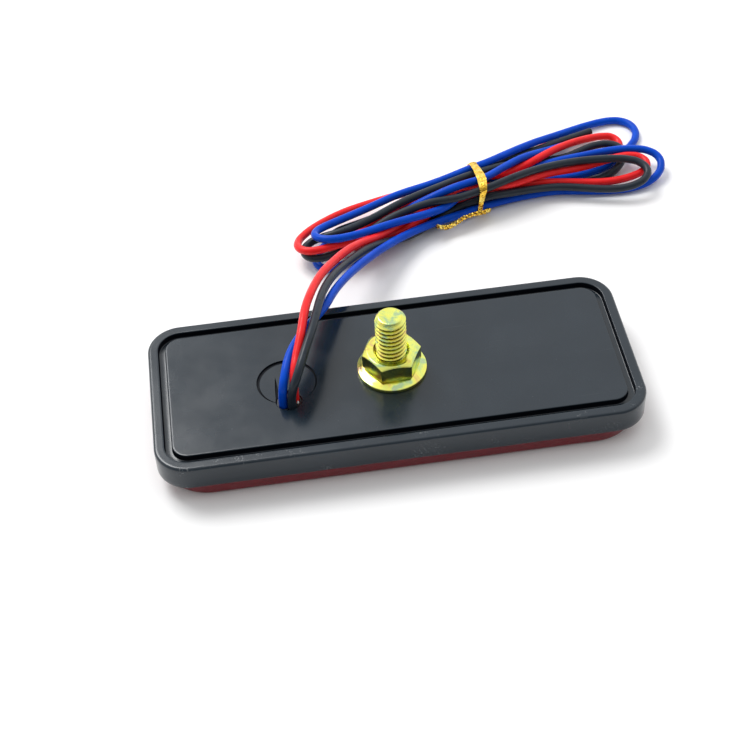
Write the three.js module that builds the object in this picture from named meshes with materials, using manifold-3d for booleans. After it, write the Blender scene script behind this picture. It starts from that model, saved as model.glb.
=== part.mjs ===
// Slim trailer tail light: black moulded tray, red lens, LED board, captive M6 stud with
// washer and nut, and three flying leads gathered into a tied hank.
// Units: millimetres. +Z is the back of the light (the stud side), z = 0 is the lens face,
// +X runs along the light, the stud's axis is x = y = 0.

import * as THREE from 'three';
import { mergeVertices } from 'three/addons/utils/BufferGeometryUtils.js';
import Module from 'manifold-3d';

const wasm = await Module();
wasm.setup();

// ---------------------------------------------------------------- driving dimensions
const LENGTH = 93;            // housing, along X
const WIDTH = 38;             // housing, along Y
const CORNER_R = 6.5;         // housing outer corner
const BACK_Z = 8.6;           // back face
const WALL = 2.2;             // housing side wall
const BACK_T = 2.0;           // housing back wall
const EDGE_CH = 0.45;         // broken edge round the back

const RIM_W = 2.0;            // rim outside the groove
const GROOVE_W = 1.5;
const GROOVE_D = 1.3;

const LENS_INSET = 0.8;       // lens stands inside the housing outline
const LENS_CORNER_R = 8.0;    // the lens is rounder at its corners than the housing
const LENS_TOP = 3.3;
const LENS_FACE_T = 1.6;
const LENS_WALL = 1.6;
const LENS_EDGE_R = 0.9;

const GASKET_T = 0.2;
const HOUSING_Z0 = LENS_TOP + GASKET_T;

const STUD_D = 5.9;           // M6 thread, over the crests
const STUD_LEN = 16;          // under the head
const HEAD_AF = 10;
const HEAD_H = 4.0;
const HEAD_TOP = BACK_Z - BACK_T - 0.05;
const STUD_TIP = HEAD_TOP + STUD_LEN;
const STUD_HOLE_R = 3.25;

const WASHER_OD = 13.4;
const WASHER_T = 1.3;
const NUT_AF = 10;
const NUT_H = 3.9;
const NUT_BORE_R = 3.27;      // clear of the thread crests
const NUT_TURN = 2.7;         // degrees, rest angle of the hex

const BOARD_T = 0.8;
const BOARD_Z0 = 3.9;
const BOARD_Z1 = BOARD_Z0 + BOARD_T;
const POST_XY = [[-40, 12.6], [40, 12.6], [-40, -12.6], [40, -12.6]];

const WIRE_HOLE = [-20.5, -4.9];
const WIRE_HOLE_R = 2.45;
const WIRE_D = 1.7;
const CORE_D = 0.9;
const WIRE_FOOT = { blue: [-21.6, -5.55], black: [-20.0, -6.3], red: [-19.3, -4.5] };

// centrelines of the leads, from the board up through the hole, over the long edge and down to the hank
const LEAD_ROUTE = {
  blue: [[-21.6, -5.55, 4.9], [-21.6, -5.55, 8.33], [-21.51, -5.4, 11.12], [-20.84, -3.87, 13.73], [-19.91, -1.02, 14.71], [-18.68, 1.89, 15.07], [-17.05, 4.61, 15.26], [-15.24, 7.21, 15.22], [-13.39, 9.78, 14.97], [-11.65, 12.41, 14.54], [-10.19, 15.18, 14.0], [-8.88, 18.0, 13.33], [-7.51, 20.74, 12.5], [-6.07, 23.41, 11.54], [-4.56, 26.02, 10.54], [-2.94, 28.58, 9.56], [-1.24, 31.07, 8.57], [0.55, 33.51, 7.6], [2.42, 35.9, 6.65]],
  black: [[-20.0, -6.3, 4.9], [-20.0, -6.3, 8.4], [-19.82, -6.27, 11.25], [-18.84, -5.6, 14.32], [-17.52, -3.26, 16.16], [-16.29, -0.25, 16.86], [-15.06, 2.82, 17.27], [-13.97, 5.96, 17.3], [-13.05, 9.16, 17.05], [-12.19, 12.33, 16.53], [-11.31, 15.44, 15.74], [-10.27, 18.47, 14.81], [-9.07, 21.4, 13.79], [-7.75, 24.24, 12.66], [-6.33, 26.98, 11.4], [-4.8, 29.64, 10.13], [-3.11, 32.25, 8.92], [-1.27, 34.77, 7.77], [0.7, 37.19, 6.6]],
  red: [[-19.3, -4.5, 4.9], [-19.3, -4.5, 8.35], [-19.26, -4.5, 11.18], [-18.89, -3.57, 14.18], [-18.1, -0.79, 15.62], [-17.14, 2.13, 16.69], [-16.26, 5.15, 17.47], [-15.49, 8.3, 17.71], [-14.64, 11.43, 17.54], [-13.63, 14.49, 17.05], [-12.55, 17.47, 16.34], [-11.39, 20.39, 15.49], [-10.12, 23.21, 14.49], [-8.74, 25.94, 13.38], [-7.28, 28.61, 12.23], [-5.75, 31.24, 11.09], [-4.13, 33.8, 9.9], [-2.38, 36.23, 8.63], [-0.46, 38.5, 7.31]],
};

// outline of the hank as it lies behind the light, seen from above
const HANK_H = 7.0;
const HANK_OUTLINE = [[3.2, 37.3], [4.1, 37.2], [10.1, 43.0], [13.3, 45.3], [17.8, 47.3], [24.3, 48.9], [33.4, 52.8], [37.5, 53.5], [42.3, 53.6], [56.2, 50.8], [61.0, 50.8], [64.5, 51.8], [68.6, 55.0], [70.1, 57.3], [69.8, 60.3], [68.1, 62.0], [65.8, 63.0], [64.7, 65.1], [65.2, 66.6], [67.6, 69.9], [68.0, 74.0], [66.1, 76.7], [64.1, 77.8], [59.4, 78.0], [56.9, 77.4], [44.3, 72.9], [32.4, 66.7], [28.8, 65.2], [25.5, 64.6], [19.0, 62.2], [12.1, 59.1], [-1.5, 54.6], [-5.6, 52.7], [-9.5, 50.2], [-13.0, 47.0], [-14.5, 44.4], [-14.1, 41.9], [-9.5, 38.4], [-7.0, 38.4], [-2.1, 40.5], [-0.6, 40.5]];

// foil twist tie round the hank's waist
const TIE_C = [26.96, 56.96];
const TIE_ANGLE = 13.5;       // degrees, the hank's run against +X
const TIE_W = 1.4;
const TIE_T = 0.45;
const WAIST = { v: 0.45, z: 3.42, w: 13.9, h: 5.15, r: 2.4 };
const TIE_TAIL = [[27.5, 48.7, 2.9], [25.0, 48.0, 3.1], [22.6, 47.2, 3.0], [20.4, 46.4, 2.3], [18.6, 45.9, 2.0], [17.3, 45.5, 2.7], [16.5, 45.1, 3.5]];
const TIE_TAIL_D = 1.3;

const MARK_C = [-20.4, 0];    // round mould mark beside the wire hole
const MARK_R = 5.8;
const MARK_W = 0.9;
const MARK_D = 0.35;

// ---------------------------------------------------------------- helpers
const V2 = (x, y) => new THREE.Vector2(x, y);
const V3 = (x, y, z) => new THREE.Vector3(x, y, z);

function roundedRect(w, h, r) {
  const s = new THREE.Shape();
  const x = w / 2, y = h / 2;
  s.moveTo(-x + r, -y);
  s.lineTo(x - r, -y);
  s.absarc(x - r, -y + r, r, -Math.PI / 2, 0, false);
  s.lineTo(x, y - r);
  s.absarc(x - r, y - r, r, 0, Math.PI / 2, false);
  s.lineTo(-x + r, y);
  s.absarc(-x + r, y - r, r, Math.PI / 2, Math.PI, false);
  s.lineTo(-x, -y + r);
  s.absarc(-x + r, -y + r, r, Math.PI, 1.5 * Math.PI, false);
  return s;
}

function prism(shape, z0, z1, seg = 8) {
  const g = new THREE.ExtrudeGeometry(shape, { depth: z1 - z0, bevelEnabled: false, curveSegments: seg });
  g.translate(0, 0, z0);
  return g;
}

function slab(w, h, r, z0, z1, seg = 8) {
  return prism(roundedRect(w, h, r), z0, z1, seg);
}

function circleShape(r, n, cx = 0, cy = 0, turn = 0) {
  const pts = [];
  for (let i = 0; i < n; i++) {
    const a = turn + (2 * Math.PI * i) / n;
    pts.push(V2(cx + r * Math.cos(a), cy + r * Math.sin(a)));
  }
  return new THREE.Shape(pts);
}

function disc(r, z0, z1, n = 24, cx = 0, cy = 0, turn = 0) {
  return prism(circleShape(r, n, cx, cy, turn), z0, z1);
}

function hexPrism(af, z0, z1, turnDeg = 0) {
  return disc(af / 2 / Math.cos(Math.PI / 6), z0, z1, 6, 0, 0, (turnDeg * Math.PI) / 180);
}

// profile is a list of [radius, z] about the Z axis
function revolve(profile, n = 32) {
  const g = new THREE.LatheGeometry(profile.map(([r, z]) => V2(r, z)), n);
  g.rotateX(Math.PI / 2);
  return g;
}

function solid(geometry) {
  let g = geometry.clone();
  g.deleteAttribute('normal');
  if (g.attributes.uv) g.deleteAttribute('uv');
  g = mergeVertices(g, 1e-5);
  const idx = [];
  const a = g.index.array;
  for (let i = 0; i < a.length; i += 3) {
    if (a[i] !== a[i + 1] && a[i + 1] !== a[i + 2] && a[i + 2] !== a[i]) idx.push(a[i], a[i + 1], a[i + 2]);
  }
  return new wasm.Manifold(new wasm.Mesh({
    numProp: 3,
    vertProperties: new Float32Array(g.attributes.position.array),
    triVerts: new Uint32Array(idx),
  }));
}

function geometryOf(m) {
  const mesh = m.getMesh();
  const g = new THREE.BufferGeometry();
  const n = mesh.vertProperties.length / mesh.numProp;
  const pos = new Float32Array(n * 3);
  for (let i = 0; i < n; i++) {
    for (let k = 0; k < 3; k++) pos[3 * i + k] = mesh.vertProperties[mesh.numProp * i + k];
  }
  g.setAttribute('position', new THREE.BufferAttribute(pos, 3));
  g.setIndex(Array.from(mesh.triVerts));
  g.computeVertexNormals();
  return g;
}

const material = (color, roughness, metalness, extra = {}) =>
  new THREE.MeshStandardMaterial({ color, roughness, metalness, ...extra });

const light = new THREE.Group();
light.name = 'tail_light';

function place(name, geometry, mat, x = 0, y = 0, z = 0) {
  const m = new THREE.Mesh(geometry, mat);
  m.name = name;
  m.position.set(x, y, z);
  light.add(m);
  return m;
}

// ---------------------------------------------------------------- rear housing
{
  const z0 = HOUSING_Z0;
  let h = solid(slab(LENGTH, WIDTH, CORNER_R, z0, BACK_Z - EDGE_CH));
  const cap = new THREE.ExtrudeGeometry(roundedRect(LENGTH - 2 * EDGE_CH, WIDTH - 2 * EDGE_CH, CORNER_R - EDGE_CH), {
    depth: 0.2, bevelEnabled: true, bevelThickness: EDGE_CH, bevelSize: EDGE_CH, bevelSegments: 1, curveSegments: 8,
  });
  cap.translate(0, 0, BACK_Z - EDGE_CH - 0.2);
  h = h.add(solid(cap).intersect(solid(slab(LENGTH + 4, WIDTH + 4, CORNER_R, BACK_Z - EDGE_CH - 0.2, BACK_Z + 1, 4))));
  // cavity, open towards the lens
  h = h.subtract(solid(slab(LENGTH - 2 * WALL, WIDTH - 2 * WALL, CORNER_R - WALL, z0 - 1, BACK_Z - BACK_T)));
  // groove between rim and back panel
  const gi = RIM_W + GROOVE_W;
  h = h.subtract(
    solid(slab(LENGTH - 2 * RIM_W, WIDTH - 2 * RIM_W, CORNER_R - RIM_W, BACK_Z - GROOVE_D, BACK_Z + 1))
      .subtract(solid(slab(LENGTH - 2 * gi, WIDTH - 2 * gi, CORNER_R - gi, BACK_Z - GROOVE_D - 1, BACK_Z + 2))));
  // hexagonal collar that keeps the bolt head from turning
  h = h.add(solid(disc(7.4, HEAD_TOP - HEAD_H + 1.2, BACK_Z - BACK_T + 0.3, 32)));
  h = h.subtract(solid(hexPrism(HEAD_AF + 0.6, z0 - 2, BACK_Z - BACK_T)));
  h = h.subtract(solid(disc(STUD_HOLE_R, z0, BACK_Z + 1, 32)));
  // board posts, each with a pin and a staked head
  for (const [x, y] of POST_XY) {
    h = h.add(solid(disc(2.0, BOARD_Z1, BACK_Z - BACK_T + 0.3, 16, x, y)));
    h = h.add(solid(disc(0.9, BOARD_Z0 - 0.3, BOARD_Z1 + 0.3, 12, x, y)));
    h = h.add(solid(disc(1.6, BOARD_Z0 - 0.6, BOARD_Z0 - 0.05, 12, x, y)));
  }
  // wire hole
  h = h.subtract(solid(disc(WIRE_HOLE_R, BACK_Z - BACK_T - 1, BACK_Z + 1, 24, ...WIRE_HOLE)));
  // tapered nick that runs up from the left of the hole
  const nick = new THREE.Shape([V2(-22.95, -4.8), V2(-22.1, -4.0), V2(-22.3, -1.0), V2(-22.5, 1.7), V2(-22.75, -1.0)]);
  h = h.subtract(solid(prism(nick, BACK_Z - 0.45, BACK_Z + 1)));
  // crescent mould mark
  const moon = solid(disc(MARK_R, BACK_Z - MARK_D, BACK_Z + 1, 40, ...MARK_C))
    .subtract(solid(disc(MARK_R - MARK_W / 2, BACK_Z - MARK_D - 1, BACK_Z + 2, 40, MARK_C[0] + 0.1, MARK_C[1] - MARK_W / 2 + 0.03)));
  h = h.subtract(moon);
  place('rear_housing', geometryOf(h), material(0x3a4046, 0.38, 0));
}

// ---------------------------------------------------------------- lens
{
  const w = LENGTH - 2 * LENS_INSET, d = WIDTH - 2 * LENS_INSET, r = LENS_CORNER_R;
  const body = new THREE.ExtrudeGeometry(roundedRect(w - 2 * LENS_EDGE_R, d - 2 * LENS_EDGE_R, r - LENS_EDGE_R), {
    depth: 4, bevelEnabled: true, bevelThickness: LENS_EDGE_R, bevelSize: LENS_EDGE_R, bevelSegments: 3, curveSegments: 8,
  });
  body.translate(0, 0, LENS_EDGE_R);
  let l = solid(body).intersect(solid(slab(w + 4, d + 4, r, -1, LENS_TOP, 4)));
  l = l.subtract(solid(slab(w - 2 * LENS_WALL, d - 2 * LENS_WALL, r - LENS_WALL, LENS_FACE_T, LENS_TOP + 1)));
  place('lens', geometryOf(l), material(0x8c1c2c, 0.15, 0, { transparent: true, opacity: 0.75 }));
}

// ---------------------------------------------------------------- bonding gasket
{
  const w = LENGTH - 2 * WALL, d = WIDTH - 2 * WALL, r = LENS_CORNER_R - 0.3;
  const g = solid(slab(w + 2.2, d + 2.2, r, LENS_TOP, LENS_TOP + GASKET_T))
    .subtract(solid(slab(w + 0.6, d + 0.6, r - 0.8, LENS_TOP - 1, LENS_TOP + 1)));
  place('lens_gasket', geometryOf(g), material(0x1b1c1e, 0.7, 0));
}

// ---------------------------------------------------------------- captive bolt
{
  const r = STUD_D / 2, tipR = 2.27, tipH = 0.75;
  const head = solid(hexPrism(HEAD_AF, HEAD_TOP - HEAD_H, HEAD_TOP))
    .intersect(solid(revolve([[0, HEAD_TOP - HEAD_H], [HEAD_AF / 2 - 0.1, HEAD_TOP - HEAD_H], [HEAD_AF / 2 + 1.0, HEAD_TOP - HEAD_H + 0.65], [HEAD_AF / 2 + 1.0, HEAD_TOP + 0.5], [0, HEAD_TOP + 0.5]], 36)));
  const shank = solid(revolve([[0, HEAD_TOP - 0.5], [r, HEAD_TOP - 0.5], [r, STUD_TIP - tipH], [tipR, STUD_TIP], [0, STUD_TIP]], 32));
  place('mounting_bolt', geometryOf(head.add(shank)), material(0xd9cf74, 0.3, 1));
}

// ---------------------------------------------------------------- washer and nut
{
  const z = BACK_Z + 0.02;
  const R = WASHER_OD / 2, ri = NUT_BORE_R;
  place('flange_washer', revolve([[ri, z], [R, z], [R, z + 0.7], [R - 0.25, z + 0.82], [5.3, z + WASHER_T], [ri, z + WASHER_T], [ri, z]], 40), material(0xcdc77a, 0.32, 1));

  const n0 = z + WASHER_T + 0.02, n1 = n0 + NUT_H, c = NUT_AF / 2;
  const barrel = solid(revolve([[0, n0], [c - 0.1, n0], [c + 0.95, n0 + 0.6], [c + 0.95, n1 - 0.7], [c - 0.3, n1], [0, n1]], 48));
  const bore = solid(revolve([[0, n0 - 1], [NUT_BORE_R, n0 - 1], [NUT_BORE_R, n1 - 0.3], [NUT_BORE_R + 0.4, n1 + 0.2], [0, n1 + 0.2]], 32));
  place('hex_nut', geometryOf(solid(hexPrism(NUT_AF, n0, n1, NUT_TURN)).intersect(barrel).subtract(bore)), material(0xd4cc7c, 0.28, 1));
}

// ---------------------------------------------------------------- circuit board and its parts
{
  let b = solid(slab(86.6, 31.6, 3.4, BOARD_Z0, BOARD_Z1));
  b = b.subtract(solid(disc(8.0, BOARD_Z0 - 1, BOARD_Z1 + 1, 32)));
  for (const [x, y] of POST_XY) b = b.subtract(solid(disc(1.2, BOARD_Z0 - 1, BOARD_Z1 + 1, 12, x, y)));
  for (const f of Object.values(WIRE_FOOT)) b = b.subtract(solid(disc(CORE_D / 2 + 0.15, BOARD_Z0 - 1, BOARD_Z1 + 1, 12, ...f)));
  place('circuit_board', geometryOf(b), material(0xe9ece6, 0.5, 0));

  // surface-mount LEDs: a shallow frame with a domed window, facing the lens
  const columns = [-36, -24, -12, 12, 24, 36], rows = [8.4, -8.4];
  let n = 0;
  for (const y of rows) {
    for (const x of columns) {
      n += 1;
      const g = solid(slab(3.5, 2.8, 0.2, -0.8, 0, 2)).add(solid(disc(1.0, -1.1, -0.7, 16)));
      place(`led_${String(n).padStart(2, '0')}`, geometryOf(g), material(0xf2efe2, 0.4, 0), x, y, BOARD_Z0 - 0.02);
    }
  }
  [[-33, 0], [-28, 0], [28, 0], [33, 0]].forEach(([x, y], i) => {
    place(`resistor_${i + 1}`, slab(3.2, 1.6, 0.12, -0.6, 0, 2), material(0x17181a, 0.5, 0), x, y, BOARD_Z0 - 0.02);
  });
  [[-13.2, 2.6], [13.2, 2.6]].forEach(([x, y], i) => {
    place(`diode_${i + 1}`, slab(4.3, 2.6, 0.2, -1.6, 0, 2), material(0x202226, 0.5, 0), x, y, BOARD_Z0 - 0.02);
  });
}

// ---------------------------------------------------------------- wire ends at the board
for (const [name, [x, y]] of Object.entries(WIRE_FOOT)) {
  place(`core_${name}`, disc(CORE_D / 2, 3.0, BOARD_Z1 + 0.15, 12, x, y), material(0xc77b4a, 0.3, 1));
  const r0 = CORE_D / 2 + 0.05;
  const zt = BOARD_Z0 - 0.02;
  place(`solder_${name}`, revolve([[r0, zt - 0.85], [r0 + 0.15, zt - 0.85], [r0 + 0.3, zt - 0.35], [0.98, zt], [r0, zt], [r0, zt - 0.85]], 12), material(0xc9ccce, 0.3, 1), x, y);
}

// ---------------------------------------------------------------- sealant in the wire hole
{
  let g = solid(disc(WIRE_HOLE_R - 0.1, BACK_Z - BACK_T + 0.1, BACK_Z - 0.55, 24, ...WIRE_HOLE));
  for (const f of Object.values(WIRE_FOOT)) g = g.subtract(solid(disc(WIRE_D / 2 + 0.1, BACK_Z - BACK_T - 1, BACK_Z + 1, 16, ...f)));
  const parts = g.decompose().sort((a, b) => b.volume() - a.volume());
  place('wire_sealant', geometryOf(parts[0]), material(0x24282c, 0.5, 0));
}

// ---------------------------------------------------------------- leads
const LEAD_COLOUR = { blue: 0x0a3fd0, black: 0x2c3136, red: 0xe8262c };
for (const [name, route] of Object.entries(LEAD_ROUTE)) {
  const curve = new THREE.CatmullRomCurve3(route.map((p) => V3(...p)), false, 'centripetal');
  const g = new THREE.ExtrudeGeometry(circleShape(WIRE_D / 2, 8), { steps: 26, extrudePath: curve, bevelEnabled: false });
  place(`lead_${name}`, g, material(LEAD_COLOUR[name], 0.4, 0));
}

// ---------------------------------------------------------------- hank and tie
{
  const turn = (TIE_ANGLE * Math.PI) / 180;
  const frame = new THREE.Matrix4().makeBasis(V3(-Math.sin(turn), Math.cos(turn), 0), V3(0, 0, 1), V3(Math.cos(turn), Math.sin(turn), 0));
  frame.setPosition(TIE_C[0], TIE_C[1], 0);
  const across = (grow, half) => {
    const g = slab(WAIST.w + 2 * grow, WAIST.h + 2 * grow, WAIST.r + grow, -half, half, 5);
    g.translate(WAIST.v, WAIST.z, 0);
    return g.applyMatrix4(frame);
  };
  const box = slab(60, 30, 1, -TIE_W / 2 - 0.3, TIE_W / 2 + 0.3, 1).applyMatrix4(frame);
  let hank = solid(prism(new THREE.Shape(HANK_OUTLINE.map(([x, y]) => V2(x, y))), 0, HANK_H));
  hank = hank.subtract(solid(box)).add(solid(across(0, TIE_W / 2 + 0.8)));
  place('lead_hank', geometryOf(hank), material(0x26324a, 0.5, 0));
  place('twist_tie', geometryOf(solid(across(0.3 + TIE_T, TIE_W / 2)).subtract(solid(across(0.3, TIE_W)))), material(0xe0b43a, 0.25, 1));
  const tail = new THREE.CatmullRomCurve3(TIE_TAIL.map((p) => V3(...p)), false, 'centripetal');
  place('twist_tie_tail', new THREE.ExtrudeGeometry(circleShape(TIE_TAIL_D / 2, 8), { steps: 14, extrudePath: tail, bevelEnabled: false }), material(0xe0b43a, 0.25, 1));
}

export default light;
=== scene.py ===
"""Looks of the slim trailer tail light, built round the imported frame."""
import math

import bpy
import numpy as np
from mathutils import Matrix, Vector


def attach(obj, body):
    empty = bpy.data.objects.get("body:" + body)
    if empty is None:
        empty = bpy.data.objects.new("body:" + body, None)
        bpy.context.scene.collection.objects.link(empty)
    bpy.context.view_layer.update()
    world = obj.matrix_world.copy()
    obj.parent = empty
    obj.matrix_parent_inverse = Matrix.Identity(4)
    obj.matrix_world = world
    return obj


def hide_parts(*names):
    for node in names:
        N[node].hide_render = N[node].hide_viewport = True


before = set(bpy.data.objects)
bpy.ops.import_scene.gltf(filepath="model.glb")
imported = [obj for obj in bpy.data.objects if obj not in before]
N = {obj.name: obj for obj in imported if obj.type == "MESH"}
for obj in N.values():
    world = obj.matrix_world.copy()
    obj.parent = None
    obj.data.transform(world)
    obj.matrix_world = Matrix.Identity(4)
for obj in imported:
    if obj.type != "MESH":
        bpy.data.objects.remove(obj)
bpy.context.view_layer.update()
MM = 0.001
rng = np.random.default_rng(11)

# ------------------------------------------------------------------ camera
F_PX, SIDE = 1572.91, 750
YAW, PITCH, ROLL = math.radians(5.92), math.radians(46.23), math.radians(-3.11)


def camera():
    yaw, pitch, roll = YAW, PITCH, ROLL
    fwd = Vector((math.sin(yaw) * math.cos(pitch), math.cos(yaw) * math.cos(pitch), -math.sin(pitch)))
    right = Vector((math.cos(yaw), -math.sin(yaw), 0))
    up = right.cross(fwd)
    r2 = math.cos(roll) * right + math.sin(roll) * up
    u2 = -math.sin(roll) * right + math.cos(roll) * up
    eye = Vector(CAM_EYE) * MM
    cam = bpy.data.cameras.new("camera")
    cam.sensor_fit = "HORIZONTAL"
    cam.sensor_width = 36.0
    cam.lens = F_PX * 36.0 / SIDE
    cam.clip_start, cam.clip_end = 0.01, 20
    o = bpy.data.objects.new("camera", cam)
    m = Matrix((
        (r2.x, u2.x, -fwd.x, eye.x),
        (r2.y, u2.y, -fwd.y, eye.y),
        (r2.z, u2.z, -fwd.z, eye.z),
        (0, 0, 0, 1),
    ))
    o.matrix_world = m
    bpy.context.scene.collection.objects.link(o)
    bpy.context.scene.camera = o
    return o


CAM_EYE = (-24.996, -208.436, 226.038)
camera()

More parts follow.
